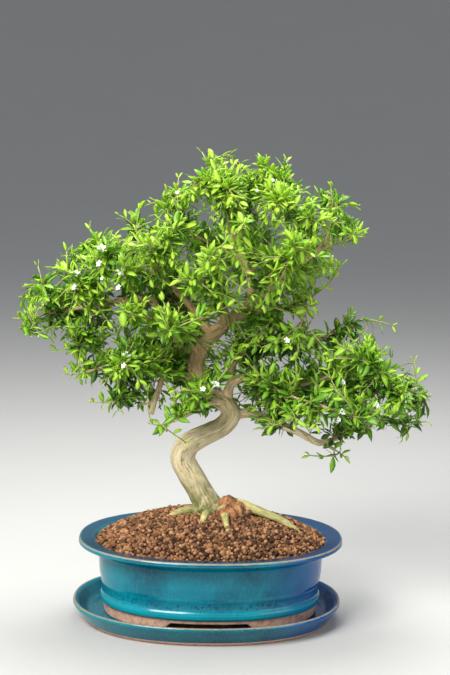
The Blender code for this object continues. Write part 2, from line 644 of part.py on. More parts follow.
def spray_mesh(shoots):
    """One closed skin over the main shoot, its side shoots and all their blades."""
    points, faces = [], []

    def add(ring):
        points.extend(np.atleast_2d(ring))
        return list(range(len(points) - len(np.atleast_2d(ring)), len(points)))

    def bridge(low, high, skip=()):
        faces.extend((low[k], low[(k + 1) % 4], high[(k + 1) % 4], high[k]) for k in range(4) if k not in skip)

    def cap(ring, tip):
        faces.extend((ring[k], ring[(k + 1) % 4], tip) for k in range(4))

    def grow(shoot, base):
        rows = [base or add(shoot.rings[0])] + [add(ring) for ring in shoot.rings[1:]]
        for level in range(len(rows) - 1):
            bridge(rows[level], rows[level + 1], shoot.skip.get(level, ()))
        cap(rows[-1], add(shoot.tip)[0])

        def corners(level, k):
            low, high = rows[level], rows[level + 1]
            return [low[k], low[(k + 1) % 4], high[(k + 1) % 4], high[k]]

        for level, k, rings, tip in shoot.leaves:
            first, second = add(rings[0]), add(rings[1])
            bridge(corners(level, k), first)
            bridge(first, second)
            cap(second, add(tip)[0])
        for level, k, child in shoot.children:
            grow(child, corners(level, k))
        return rows

    rows = grow(shoots[0], None)
    faces.append(tuple(rows[0][::-1]))
    return points, faces


def bloom_mesh(base, along, width):
    """A white funnel: slim tube, then five lobes spread in a star, hollowed down the middle."""
    side = unit(np.cross(along, (0.31, 0.2, 0.9)))
    over = np.cross(along, side)
    angle = np.arange(10) * math.pi / 5
    star = np.where(np.arange(10) % 2 == 0, 1.0, 0.48)
    half = width / 2
    shape = [(0.7, 0, 0), (1.0, 0.55, 0), (half, 0.94, 1), (0.7, 0.82, 0)]
    rings = []
    for size, up, lobed in shape:
        radius = (size * (star if lobed else np.ones(10)))[:, None]
        rings.append(base + along * up * width + radius * (np.cos(angle)[:, None] * side + np.sin(angle)[:, None] * over))
    return skin_rings(rings, base, base + along * 0.5 * width)


def wood_bodies():
    """Every tube and lump of the tree's wood, but not the twigs of the sprays."""
    yield tube(route(TRUNK, 25), 10, 0.07)
    for name in LIMBS:
        yield tube(limb_route(name), LIMB_SIDES)
    for root in ROOTS:
        yield tube(root_route(root), LIMB_SIDES)
    for knob in LUMPS:
        yield lump(*knob)


def root_cutter():
    """The parts of the tree that stand in the soil, a gap bigger all round, joined in one cutter."""
    group = new_collection("root_cutters")
    foot = [(x, y, z, radius + GAP) for x, y, z, radius in route(TRUNK, 25)[:7]]
    foot[0] = (*foot[0][:2], foot[0][2] - GAP, foot[0][3])
    cutter = new_object("foot_cutter", *tube(np.array(foot), 10, 0.07))
    for root in ROOTS:
        path = root_route(root, GAP * 1.5)
        end = path[-1].copy()
        end[:3] += unit(path[-1, :3] - path[-2, :3]) * GAP
        path = np.vstack([path, end])
        new_object("root_cutter", *tube(path, LIMB_SIDES), collection=group)
    for x, y, rise, radius in LUMPS:
        new_object("lump_cutter", *lump(x, y, rise, radius, GAP * 1.6), collection=group)
    boolean(cutter, "UNION", collection=group, solver="MANIFOLD")
    apply_modifiers(cutter)
    drop_collection(group)
    return cutter


def make_trunk():
    """Trunk, limbs, roots and the woody twigs that carry the sprays, joined in one piece of wood."""
    bodies = list(wood_bodies())
    for limb, place, tips in SPRAYS:
        curve, limb_radius = twig_curve(limb, place, tips[0])
        twig, _ = split_curve(curve, limb_radius)
        stops = np.linspace(0, twig, TWIG_RINGS)
        places, _ = read_curve(curve, stops)
        thick = np.linspace(max(1.5, min(0.6 * limb_radius, 2.4)), 1.25, len(stops))
        bodies.append(twig_tube(places, curve, twig, thick))
    trunk = new_object("trunk", *bodies[0], material("pale bark", (0.42, 0.36, 0.24), 0.85))
    group = new_collection("wood")
    for points, faces in bodies[1:]:
        new_object("branch", points, faces, collection=group)
    boolean(trunk, "UNION", collection=group, solver="MANIFOLD")
    apply_modifiers(trunk)
    drop_collection(group)
    keep_largest(trunk)
    smooth(trunk, 50)
    return trunk


def twig_tube(places, curve, twig, thick):
    """A four-sided twig whose last ring is square to the curve, to carry the green stem face to face."""
    _, along = read_curve(curve, np.linspace(0, twig, len(places)))
    side = unit(np.cross(along[-1], (0.2, 0.1, 1)))
    rings = []
    for place, direction, radius in zip(places, along, thick):
        rings.append(square(place, direction, unit(side - direction * side.dot(direction)), radius * 0.8))
    return closed_tube(rings)


def keep_largest(made):
    """Drops any loose scrap that a Boolean leaves, keeping the biggest body."""
    shape = bmesh.new()
    shape.from_mesh(made.data)
    bodies, seen = [], set()
    for start in shape.verts:
        if start in seen:
            continue
        body, queue = [], [start]
        seen.add(start)
        while queue:
            vertex = queue.pop()
            body.append(vertex)
            for edge in vertex.link_edges:
                other = edge.other_vert(vertex)
                if other not in seen:
                    seen.add(other)
                    queue.append(other)
        bodies.append(body)
    bodies.sort(key=len)
    for body in bodies[:-1]:
        bmesh.ops.delete(shape, geom=body, context="VERTS")
    shape.to_mesh(made.data)
    shape.free()
    made.data.update()
    if len(bodies) > 1:
        print(f"{made.name}: {len(bodies) - 1} loose scraps dropped")


def mesh_in_mm(made):
    points = np.array([tuple(vertex.co) for vertex in made.data.vertices]) / MM
    return points, [tuple(face.vertices) for face in made.data.polygons]


def make_foliage(trunk):
    draw = random.Random(SEED)
    taken = Taken()
    taken.add(*mesh_in_mm(trunk))
    leaf = material("green leaf", (0.09, 0.3, 0.03), 0.45)
    petal = material("white petal", (0.85, 0.86, 0.82), 0.6)
    sprays = [plan_spray(number + 1, *spray, taken) for number, spray in enumerate(SPRAYS)]
    for number, (spray, tip, width) in enumerate(BLOOMS):
        shoot = sprays[spray - 1][min(tip, len(sprays[spray - 1]) - 1)]
        along = shoot.along[-1]
        points, faces = bloom_mesh(shoot.tip + along * GAP, along, width)
        if taken.meets(points, faces):
            print(f"bloom {number + 1} meets something")
        taken.add(points, faces)
        new_object(f"bloom_{number + 1:02d}", points, faces, petal)
    count = 0
    for number, shoots in enumerate(sprays):
        add_leaves(shoots, taken, draw)
        count += sum(len(shoot.leaves) for shoot in shoots)
        new_object(f"spray_{number + 1:02d}", *spray_mesh(shoots), leaf)
    print(f"{count} leaves on {len(sprays)} sprays")


def main():
    clear_scene()
    make_saucer()
    make_pot()
    make_drain_mesh("drain_mesh_left", -1)
    make_drain_mesh("drain_mesh_right", 1)
    make_soil(root_cutter())
    make_foliage(make_trunk())


main()
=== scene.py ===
"""Looks of the serissa bonsai: glazes, soil grains, bark, thousands of folded leaves and small white blooms.

Tables hold millimetres, and MM turns them into Blender's metres. +X is to the viewer's right, +Y is away.
"""

import math

import bmesh
import bpy
import numpy as np
from bpy.props import FloatProperty, FloatVectorProperty, IntProperty, PointerProperty
from mathutils import Matrix, Vector


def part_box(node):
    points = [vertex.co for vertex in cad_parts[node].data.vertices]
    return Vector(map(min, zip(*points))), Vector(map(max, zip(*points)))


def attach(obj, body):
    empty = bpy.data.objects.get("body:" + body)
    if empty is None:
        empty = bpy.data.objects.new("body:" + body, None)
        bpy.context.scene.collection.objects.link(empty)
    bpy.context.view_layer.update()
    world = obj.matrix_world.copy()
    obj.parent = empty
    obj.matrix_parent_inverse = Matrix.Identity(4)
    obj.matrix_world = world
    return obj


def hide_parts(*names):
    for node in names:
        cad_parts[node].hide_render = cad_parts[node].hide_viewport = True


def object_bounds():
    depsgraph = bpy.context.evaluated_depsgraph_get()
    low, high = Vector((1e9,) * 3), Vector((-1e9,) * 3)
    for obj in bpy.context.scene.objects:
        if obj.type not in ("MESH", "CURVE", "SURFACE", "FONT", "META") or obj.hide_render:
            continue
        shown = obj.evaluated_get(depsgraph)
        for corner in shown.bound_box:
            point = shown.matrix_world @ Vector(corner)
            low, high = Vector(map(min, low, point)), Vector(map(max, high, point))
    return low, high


bl_info = {
    "name": "Serissa bonsai",
    "version": (1, 0, 0),
    "blender": (4, 5, 0),
    "location": "View3D > Sidebar > Bonsai",
    "description": "Builds the finished surfaces of a serissa bonsai in its glazed pot",
    "category": "Add Mesh",
}

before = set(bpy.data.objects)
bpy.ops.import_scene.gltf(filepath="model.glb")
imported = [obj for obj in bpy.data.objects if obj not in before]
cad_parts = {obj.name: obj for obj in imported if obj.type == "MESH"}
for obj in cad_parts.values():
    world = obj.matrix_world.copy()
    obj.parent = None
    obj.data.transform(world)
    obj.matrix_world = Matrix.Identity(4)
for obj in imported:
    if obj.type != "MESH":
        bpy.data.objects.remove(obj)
CAD_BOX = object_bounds()
BODY = "root"
MM = 0.001
SEED = 23

OVAL_CUT = 28.6
OVAL_POWER = 2.2
ARCH_TOP, ARCH_BOTTOM, ARCH_Z, FOOT_Z = 37.0, 44.0, 16.0, 8.3
SAUCER_X = -3.3
SOIL_HALF, SOIL_EDGE_Z, SOIL_TOP_Z, SOIL_POWER = 112.5, 76.0, 107.0, 2.6
DRAIN_X, DRAIN_RADIUS = 48.0, 9.0
TIP_ROOM, GREEN_LENGTH = 9.0, 46.0
DRILL_LOW, DRILL_HIGH = 12, 26
MOSS_CLUMPS = 150
CROWN_MIDDLE = (5, 0, 250)
SHOOT_REACH = 85
ROOT_LIFT = 1.2

# Camera, as the photograph was taken.
EYE = (11.56, -1527.5, 506.3)
EYE_DOWN = math.radians(8.44)
EYE_ROLL = 0.0133
EYE_LENS = 85.0

# The tree's routes, as the solids have them: x, y, z and radius.
TRUNK = [
    (3, 0, 62, 11), (2, 0, 84, 15.5), (0, 0, 103, 15.5), (-3, 1, 113, 13.4), (-8, 2, 121, 12.6),
    (-15, 2, 134, 12), (-23, 2, 148, 11.8), (-28, 1, 159, 12.2), (-25, 0, 170, 12),
    (-14.5, -1, 178.5, 10.8), (-1, -2, 185.6, 10), (11.7, -1, 192.7, 9.7), (18.6, 0, 203, 9.8),
    (14.4, 2, 213.6, 9.4), (4.5, 4, 220.4, 9), (-5.3, 5, 227.2, 8.8), (-13.2, 6, 238, 8.6),
    (-16.2, 6, 249.8, 8.5), (-14.4, 5, 261.6, 8.3), (-8.7, 3, 273.5, 7.9), (1, 1, 283.4, 7.3),
    (11.4, -1, 292.4, 6.4), (22, -3, 302, 5.4), (31, -2, 309, 4.8), (37, 3, 320, 4.3), (35, 7, 337, 3.9),
    (28, 8, 354, 3.5), (20, 7, 372, 3.1), (15, 4, 390, 2.7), (12, 2, 406, 2.3), (10, 1, 418, 2),
]
LIMBS = {
    "left": [
        (-14, 5, 262, 6), (-31, 6, 271, 5), (-48, 4, 296, 4.3), (-62, 0, 316, 3.7), (-87, -3, 315, 3.1),
        (-104, -5, 311, 2.7), (-133, -6, 307, 2.2), (-152, -6, 304, 1.7)
    ],
    "low_left": [
        (-15, 6, 243, 5), (-31, 4, 238, 4.2), (-41, 0, 243, 3.7), (-52, -4, 250, 3.2),
        (-76, -8, 253, 2.6), (-100, -9, 251, 2), (-112, -10, 249, 1.6)
    ],
    "dead_stub": [(-46, -1, 245, 2.8), (-51, -3, 232, 3), (-56, -6, 217, 2.8), (-59, -7, 204, 2.3)],
    "dead_fork": [(-55, -5, 219, 1.8), (-62, -8, 215, 1.7), (-68, -10, 215, 1.4)],
    "low_front": [(12, 1, 216, 4.6), (1, -14, 219, 3.4), (-13, -29, 215, 2.6), (-27, -38, 208, 1.9)],
    "right_mid": [
        (15, 2, 213, 6.2), (15.5, 0, 226, 5.2), (19, -2, 235.5, 4.6), (33, -4, 243, 3.9),
        (48, -6, 240, 3.5), (67, -8, 234, 3.1), (93, -10, 238, 2.6), (120, -10, 246, 2.1),
        (150, -8, 249, 1.6)
    ],
    "right_up": [
        (17, -1, 232, 4), (19, 4, 251, 3.4), (34, 10, 266, 2.9), (58, 14, 273, 2.5), (88, 14, 277, 2.1),
        (112, 10, 280, 1.6)
    ],
    "right_low": [
        (17, 0, 203, 7), (28, 0, 205, 5.2), (40, -1, 205, 4.5), (58, -4, 198, 4.1), (84, -8, 189, 3.6),
        (104, -10, 179, 3.5), (118, -12, 183, 2.7), (140, -14, 194, 2.1), (160, -14, 203, 1.6)
    ],
    "right_back": [(60, -3, 198, 3.2), (72, 18, 212, 2.8), (92, 38, 226, 2.3), (112, 46, 234, 1.7)],
    "right_front": [(46, -6, 240, 3), (58, -30, 236, 2.6), (80, -48, 229, 2.1), (104, -54, 224, 1.6)],
    "up_right": [
        (31, -2, 309, 4.2), (52, -6, 326, 3.5), (74, -8, 346, 3), (94, -8, 362, 2.4), (108, -6, 374, 1.8)
    ],
    "up_right_low": [(20, -3, 300, 4.2), (48, -12, 307, 3.1), (72, -20, 313, 2.4), (88, -24, 319, 1.8)],
    "up_left": [(30, 8, 350, 3.2), (4, 8, 366, 2.7), (-18, 4, 378, 2.2), (-36, 0, 387, 1.7)],
    "mid_left": [
        (-2, 2, 281, 5.2), (-20, -4, 308, 3.9), (-45, -8, 334, 3.1), (-68, -10, 348, 2.5),
        (-86, -10, 354, 1.8)
    ],
    "front": [(11, -1, 291, 4.6), (8, -24, 317, 3.3), (1, -46, 338, 2.5), (-6, -60, 350, 1.8)],
    "front_right": [(32, -2, 310, 3.8), (44, -28, 334, 3), (58, -48, 352, 2.3), (68, -58, 362, 1.7)],
    "front_left": [(-14, 4, 263, 5), (-22, -22, 284, 3.3), (-40, -44, 299, 2.5), (-56, -54, 305, 1.8)],
    "back": [(36, 7, 336, 3.4), (38, 33, 351, 2.8), (34, 56, 365, 2.2), (30, 70, 372, 1.6)],
    "back_left": [(-8, 3, 274, 4.8), (-28, 28, 298, 3.2), (-50, 48, 318, 2.5), (-68, 56, 328, 1.8)],
    "back_right": [(22, -2, 302, 4), (50, 24, 319, 3), (74, 44, 335, 2.3), (88, 50, 342, 1.7)],
    "back_low": [(-16, 6, 250, 4), (-32, 28, 254, 2.7), (-54, 42, 256, 2.1), (-70, 46, 253, 1.5)],
}

# Roots: x, y, height over the soil, and radius.
ROOTS = [
    [
        (2, -3, 1, 9), (22, -6, 8, 5.6), (38, -8, 6.5, 4.6), (54, -10, 4, 3.9), (72, -12, 2, 3.1),
        (88, -14, -3, 2)
    ],
    [(-2, -1, 0, 8), (-18, -5, 1.6, 4.2), (-31, -8, 0.6, 3), (-43, -9, -4, 1.8)],
    [(0, -4, 0, 7), (-5, -20, 1.4, 3.4), (-9, -34, -3, 2)],
    [(4, -4, 0, 7), (13, -21, 1.6, 3.2), (15, -36, 0, 2.4), (18, -48, -4, 1.6)],
    [(2, 3, 0, 8), (-8, 20, 1.2, 4), (-20, 36, -4, 2.2)],
    [(4, 3, 0, 8), (20, 18, 1.4, 4), (38, 30, -4, 2.2)],
]
# Stump lumps.
LUMPS = [(15, -9, 3, 7.5), (24, -5, 3.5, 6), (9, -13, 1, 5.5)]

# Sprays: limb, place along it, and tips. Blooms: spray, tip and width.
SPRAYS = [
    ("left", 1.0, [(-193, -8, 297), (-174, -32, 286)]),
    ("left", 0.93, [(-168, -14, 349), (-186, 12, 316)]),
    ("left", 0.8, [(-144, 22, 359), (-118, 32, 372)]),
    ("left", 0.66, [(-128, -40, 343)]),
    ("left", 0.74, [(-126, -34, 262), (-150, -20, 268)]),
    ("left", 0.84, [(-150, 52, 306)]),
    ("mid_left", 1.0, [(-120, 2, 384)]),
    ("mid_left", 0.9, [(-103, -46, 367), (-110, -40, 346)]),
    ("mid_left", 0.8, [(-73, 20, 402), (-92, 12, 396)]),
    ("mid_left", 0.7, [(-84, -66, 349)]),
    ("mid_left", 0.5, [(-56, -84, 378), (-34, -62, 392)]),
    ("up_left", 1.0, [(-45, -14, 420), (-62, 2, 408)]),
    ("up_left", 0.85, [(-35, 16, 434), (-46, 48, 412)]),
    ("trunk", 1.0, [(-13, 0, 458), (14, 22, 455)]),
    ("trunk", 0.97, [(10, -54, 430), (-14, -40, 436)]),
    ("trunk", 0.94, [(46, 56, 432)]),
    ("up_right", 0.8, [(44, -10, 451), (68, 0, 451)]),
    ("up_right", 1.0, [(110, -5, 428), (136, 10, 407)]),
    ("up_right", 0.9, [(142, -22, 384), (128, 44, 388)]),
    ("up_right", 0.6, [(88, -60, 408), (60, -52, 420)]),
    ("up_right_low", 1.0, [(118, -42, 354)]),
    ("up_right_low", 0.8, [(94, -62, 322), (84, -34, 300)]),
    ("front_right", 1.0, [(72, -102, 384), (98, -84, 366)]),
    ("front", 1.0, [(2, -112, 376), (28, -92, 398)]),
    ("front", 0.75, [(-34, -104, 348)]),
    ("front_left", 1.0, [(-84, -92, 320)]),
    ("front_left", 0.7, [(-38, -100, 300), (-10, -92, 312)]),
    ("back", 1.0, [(22, 114, 388), (60, 98, 396)]),
    ("back_left", 1.0, [(-98, 92, 348), (-66, 98, 366)]),
    ("back_right", 1.0, [(116, 88, 362), (102, 84, 322)]),
    ("low_left", 1.0, [(-140, -12, 244), (-122, 14, 264)]),
    ("low_left", 0.75, [(-82, -46, 266)]),
    ("low_left", 0.7, [(-90, -24, 211), (-112, -40, 222)]),
    ("back_low", 1.0, [(-106, 64, 244)]),
    ("low_front", 1.0, [(-56, -62, 206), (-26, -52, 188)]),
    ("low_front", 0.6, [(2, -64, 244), (-34, -70, 240)]),
    ("right_up", 1.0, [(134, 10, 302), (176, 4, 292)]),
    ("right_up", 0.66, [(86, -18, 292), (58, -6, 296)]),
    ("right_mid", 1.0, [(208, -10, 225), (197, 16, 258)]),
    ("right_mid", 0.86, [(182, -48, 232), (146, -52, 268)]),
    ("right_low", 1.0, [(206, -24, 204), (182, -34, 190)]),
    ("right_low", 0.64, [(129, -24, 168), (92, -30, 171)]),
    ("right_front", 1.0, [(143, -74, 217), (112, -82, 246)]),
    ("right_front", 0.5, [(78, -84, 212), (46, -58, 202)]),
    ("right_back", 1.0, [(150, 72, 228), (112, 76, 258)]),
]

BLOOMS = [(1, 1, 6), (4, 0, 9), (8, 0, 9), (10, 0, 8), (17, 1, 6), (32, 0, 9), (36, 0, 9), (38, 0, 8),
          (40, 0, 10)]


# The crown's masses: centre and half sizes. They set how deep small shoots reach, and how dark the leaves
# are painted deep inside them, as painted shade.
PADS = [
    (-122, 0, 313, 68, 58, 38), (-128, 0, 345, 40, 42, 24), (-62, 0, 362, 66, 82, 44),
    (2, 0, 398, 58, 78, 48), (8, 0, 436, 32, 48, 24), (46, 0, 428, 34, 48, 26), (74, 0, 381, 66, 84, 52),
    (18, 0, 336, 80, 106, 40), (-46, 0, 306, 62, 98, 38), (-84, 0, 238, 60, 66, 30),
    (-24, 0, 208, 40, 62, 24), (62, 0, 262, 58, 72, 34), (132, 0, 268, 56, 60, 32),
    (156, 0, 222, 54, 72, 42), (104, 0, 205, 66, 70, 33), (8, -30, 238, 36, 50, 30),
]
# The crown's outline, seen from the photograph's camera, as x and z on the plane y = 0.
OUTLINE = [
    (-197, 297), (-185, 316), (-172, 332), (-160, 350), (-137, 364), (-113, 374), (-90, 388), (-67, 398),
    (-46, 410), (-32, 428), (-14, 444), (2, 452), (26, 451), (60, 447), (84, 430), (107, 424), (130, 405),
    (148, 388), (134, 358), (112, 341), (98, 322), (84, 305), (66, 299), (84, 289), (107, 284),
    (132, 297), (153, 290), (178, 274), (197, 242), (210, 222), (200, 190), (160, 187), (138, 183),
    (124, 171), (106, 181), (84, 190), (58, 185), (40, 190), (22, 200), (0, 202), (-30, 198), (-60, 204),
    (-92, 209), (-116, 231), (-140, 231), (-138, 246), (-116, 260), (-150, 273), (-172, 275), (-187, 288),
]
# Where trunk and fork stay in sight: x, z and radius of discs on the same plane.
BARE_WOOD = [
    (-12, 184, 14), (2, 190, 13), (14, 196, 12), (19, 205, 11), (15, 214, 11), (5, 221, 9), (18, 228, 6),
    (-15, 251, 6), (-14, 262, 8), (-8, 273, 8), (1, 283, 8), (11, 292, 8), (20, 299, 6),
    (-52, 230, 6), (-57, 218, 7), (-66, 215, 5), (-60, 206, 6),
]


def unit(vectors):
    """Vectors of length 1 in the same directions."""
    return vectors / np.maximum(np.linalg.norm(vectors, axis=-1, keepdims=True), 1e-12)


def noise(points, size, seed=0):
    """Value noise from 0 to 1: random numbers at whole-number corners, blended by a smooth curve between
    them."""
    scaled = np.asarray(points, float) / size
    cell = np.floor(scaled)
    part = scaled - cell
    part = part * part * (3 - 2 * part)
    total = 0.0
    for corner in np.ndindex(2, 2, 2):
        at = cell + corner
        hashed = np.sin(at @ np.array([12.9898, 78.233, 37.719]) + seed * 7.13) * 43758.5453
        weight = np.prod(np.where(np.array(corner) == 1, part, 1 - part), axis=-1)
        total = total + weight * (hashed - np.floor(hashed))
    return total


def new_piece(name, points, quads, triangles=(), smooth=True, attributes=None):
    """A mesh object from whole arrays of millimetre points and of corner numbers."""
    quads = np.asarray(quads, np.int32).reshape(-1, 4)
    triangles = np.asarray(triangles, np.int32).reshape(-1, 3)
    corners = np.concatenate([quads.ravel(), triangles.ravel()])
    sizes = np.concatenate([np.full(len(quads), 4), np.full(len(triangles), 3)])
    mesh = bpy.data.meshes.new(name)
    mesh.vertices.add(len(points))
    mesh.vertices.foreach_set("co", (np.asarray(points) * MM).astype(np.float32).ravel())
    mesh.loops.add(len(corners))
    mesh.loops.foreach_set("vertex_index", corners)
    mesh.polygons.add(len(sizes))
    mesh.polygons.foreach_set("loop_start", np.concatenate([[0], np.cumsum(sizes)[:-1]]).astype(np.int32))
    mesh.update(calc_edges=True)
    if smooth:
        mesh.shade_smooth()
    for key, values in (attributes or {}).items():
        add_attribute(mesh, key, values)
    piece = bpy.data.objects.new(name, mesh)
    bpy.context.scene.collection.objects.link(piece)
    return piece


def add_attribute(mesh, key, values):
    """Stores one number or vector for each point, for the materials to read."""
    values = np.asarray(values, np.float32)
    kind, field = ("FLOAT_VECTOR", "vector") if values.ndim == 2 else ("FLOAT", "value")
    mesh.attributes.new(key, kind, "POINT").data.foreach_set(field, values.ravel())


def dress(piece, slot, finish, *nodes):
    """Gives a piece its material, its body and the solids that it stands for. Its finish slot is not used.
    """
    piece.data.materials.clear()
    piece.data.materials.append(finish)
    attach(piece, BODY)
    if nodes:
        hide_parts(*nodes)
    return piece


def grid_quads(rows, columns):
    """Corner numbers of a grid of quads, row after row, closed round its columns."""
    row = np.arange(rows - 1)[:, None] * columns
    step = np.arange(columns)[None, :]
    after = (step + 1) % columns
    return np.stack(
        [row + step, row + after, row + columns + after, row + columns + step], -1
    ).reshape(-1, 4)


def end_fans(rows, around):
    """Triangles from one middle point to the first ring, and from another to the last ring."""
    count, step = rows * around, np.arange(around)
    after = (step + 1) % around
    return np.vstack(
        [
            np.stack([np.full(around, count), after, step], -1),
            np.stack([count - around + step, count - around + after, np.full(around, count + 1)], -1)
        ]
    )


def circle(around):
    """Even angles round a circle."""
    return np.arange(around) * 2 * math.pi / around


def rounded(rows, reach=1.5, step=3.5, passes=3):
    """Cuts the corners of a profile: each pass replaces a corner by two points at most reach away on its
    two sides, and halves reach. Rows are then added so that no two are further apart than step."""
    rows = np.asarray(rows, float)
    for _ in range(passes):
        share = np.minimum(0.25, reach / np.linalg.norm(np.diff(rows[:, :2], axis=0), axis=1))[:, None]
        change = np.diff(rows, axis=0) * share
        between = np.stack([rows[:-1] + change, rows[1:] - change], 1).reshape(-1, rows.shape[1])
        rows = np.vstack([rows[:1], between, rows[-1:]])
        reach /= 2
    run = np.concatenate([[0], np.cumsum(np.linalg.norm(np.diff(rows[:, :2], axis=0), axis=1))])
    where = np.unique(np.concatenate([run, np.arange(0, run[-1], step)]))
    where = where[np.concatenate([[True], np.diff(where) > 0.05])]
    return np.column_stack([np.interp(where, run, rows[:, k]) for k in range(rows.shape[1])])


def oval(half, around):
    """Superellipse |x/a|^p + |y/b|^p = 1, whose depth half axis b is a less a fixed cut."""
    angle = circle(around)
    power = 2 / OVAL_POWER
    x = np.sign(np.cos(angle)) * np.abs(np.cos(angle)) ** power
    y = np.sign(np.sin(angle)) * np.abs(np.sin(angle)) ** power
    half = np.asarray(half, float)[:, None]
    return half * x, (half - OVAL_CUT) * y


def oval_vessel(name, rows, around, centre_x=0.0, reshape=None):
    """An oval ring for each profile row of half width, height, clay, edge, pool-and-shade and scale, closed
    by two middle points. The pool-and-shade mark is pooled glaze, and also painted shade under the pot's
    rim."""
    x, y = oval(rows[:, 0], around)
    x, y = x * rows[:, 5:6], y * rows[:, 5:6]
    points = np.stack([x + centre_x, y, np.repeat(rows[:, 1:2], around, 1)], -1)
    marks = np.repeat(rows[:, None, 2:5], around, 1)
    if reshape:
        points = reshape(points, marks)
    flat = np.vstack([points.reshape(-1, 3), [(centre_x, 0, rows[0, 1])], [(centre_x, 0, rows[-1, 1])]])
    marks = np.vstack([marks.reshape(-1, 3), rows[:1, 2:5], rows[-1:, 2:5]])
    keys = {"clay": marks[:, 0], "edge": marks[:, 1], "pool": marks[:, 2]}
    return new_piece(
        name, flat, grid_quads(len(rows), around), end_fans(len(rows), around), attributes=keys
    )


def open_arches(points, marks):
    """Raises the foot's lower edge to the arch, within a trapezoid in front and behind."""
    x, y, z = points[..., 0], points[..., 1], points[..., 2]
    inside = np.clip((ARCH_BOTTOM - np.abs(x)) / (ARCH_BOTTOM - ARCH_TOP), 0, 1) * (np.abs(y) > 30)
    raised = FOOT_Z + (ARCH_Z - FOOT_Z) * inside
    points[..., 2] = np.where((marks[..., 0] > 0.5) & (z < raised), raised, z)
    return points


def soil_reach(x, y):
    """How far out a place is on the soil: 0 in the middle and 1 at the pot's wall."""
    return (
        np.abs(x / SOIL_HALF) ** OVAL_POWER + np.abs(y / (SOIL_HALF - OVAL_CUT)) ** OVAL_POWER
    ) ** (1 / OVAL_POWER)


def soil_height(x, y):
    """Height of the mound: highest by the trunk, and inside the rim's height at the wall."""
    out = soil_reach(x, y)
    return SOIL_EDGE_Z + (SOIL_TOP_Z - SOIL_EDGE_Z) * (1 - np.minimum(out, 1) ** SOIL_POWER)


def route(points, count):
    """Even points on a smooth curve through the given ones. A fourth number is carried along."""
    held = np.asarray(points, float)
    ends = np.vstack([2 * held[0] - held[1], held, 2 * held[-1] - held[-2]])
    t = np.linspace(0, 1, 9)[:-1, None]
    parts = [
        0.5 * (2 * b + (c - a) * t + (2 * a - 5 * b + 4 * c - d) * t**2 + (3 * b - a - 3 * c + d) * t**3)
        for a, b, c, d in zip(ends[:-3], ends[1:-2], ends[2:-1], ends[3:])
    ]
    fine = np.vstack([*parts, held[-1:]])
    length = np.concatenate([[0], np.cumsum(np.linalg.norm(np.diff(fine[:, :3], axis=0), axis=1))])
    where = np.linspace(0, length[-1], count)
    return np.column_stack([np.interp(where, length, fine[:, k]) for k in range(fine.shape[1])])


def path_frames(points):
    """Directions along a path, sideways and over it, turned as little as possible."""
    along = unit(np.gradient(points[:, :3], axis=0))
    side = [unit(np.cross(along[0], (0.3, 0.9, 0.2)))]
    for direction in along[1:]:
        side.append(unit(side[-1] - direction * side[-1].dot(direction)))
    side = np.array(side)
    return along, side, np.cross(along, side)


def round_tube(path, around, flutes=0.0):
    """A closed tube: radius times (1 + flutes cos 3a) at angle a round each point of the path."""
    _, side, over = path_frames(path)
    angle = circle(around)
    size = path[:, 3:4] * (1 + flutes * np.cos(3 * angle))
    points = path[:, None, :3] + size[..., None] * (
        np.cos(angle)[:, None] * side[:, None] + np.sin(angle)[:, None] * over[:, None])
    flat = np.vstack([points.reshape(-1, 3), path[:1, :3], path[-1:, :3]])
    return flat, grid_quads(len(path), around), end_fans(len(path), around)


def joined(parts):
    """Puts several (points, quads, triangles) one after the other in one set of arrays."""
    points, quads, triangles, start = [], [], [], 0
    for part_points, part_quads, part_triangles in parts:
        points.append(part_points)
        quads.append(np.asarray(part_quads, int).reshape(-1, 4) + start)
        triangles.append(np.asarray(part_triangles, int).reshape(-1, 3) + start)
        start += len(part_points)
    return np.vstack(points), np.vstack(quads), np.vstack(triangles)


def ball():
    """Points and triangles of a ball of radius 1, with 48 faces."""
    shape = bmesh.new()
    bmesh.ops.create_uvsphere(shape, u_segments=6, v_segments=5, radius=1.0)
    bmesh.ops.triangulate(shape, faces=shape.faces)
    points = np.array([tuple(vertex.co) for vertex in shape.verts])
    triangles = np.array([[vertex.index for vertex in face.verts] for face in shape.faces])
    shape.free()
    return points, triangles


def turns(draw, count):
    """Random rotation matrices from random quaternions."""
    w, x, y, z = unit(draw.normal(size=(count, 4))).T
    return np.stack([np.stack([1 - 2 * (y * y + z * z), 2 * (x * y - z * w), 2 * (x * z + y * w)], -1),
                     np.stack([2 * (x * y + z * w), 1 - 2 * (x * x + z * z), 2 * (y * z - x * w)], -1),
                     np.stack([2 * (x * z - y * w), 2 * (y * z + x * w), 1 - 2 * (x * x + y * y)], -1)], -2)


def lumps_at(draw, centres, sizes, rough=0.16):
    """Rough pebbles: a ball with each corner's radius drawn at random, stretched, turned and put in
    place."""
    base, triangles = ball()
    count = len(centres)
    radius = 1 + draw.uniform(-rough, rough, (count, len(base), 1))
    stretch = draw.uniform(0.78, 1.15, (count, 1, 3))
    points = np.einsum("nij,nkj->nki", turns(draw, count), base * radius * stretch)
    points = centres[:, None] + points * sizes[:, None, None]
    numbers = triangles[None] + (np.arange(count) * len(base))[:, None, None]
    return points.reshape(-1, 3), numbers.reshape(-1, 3), len(base)


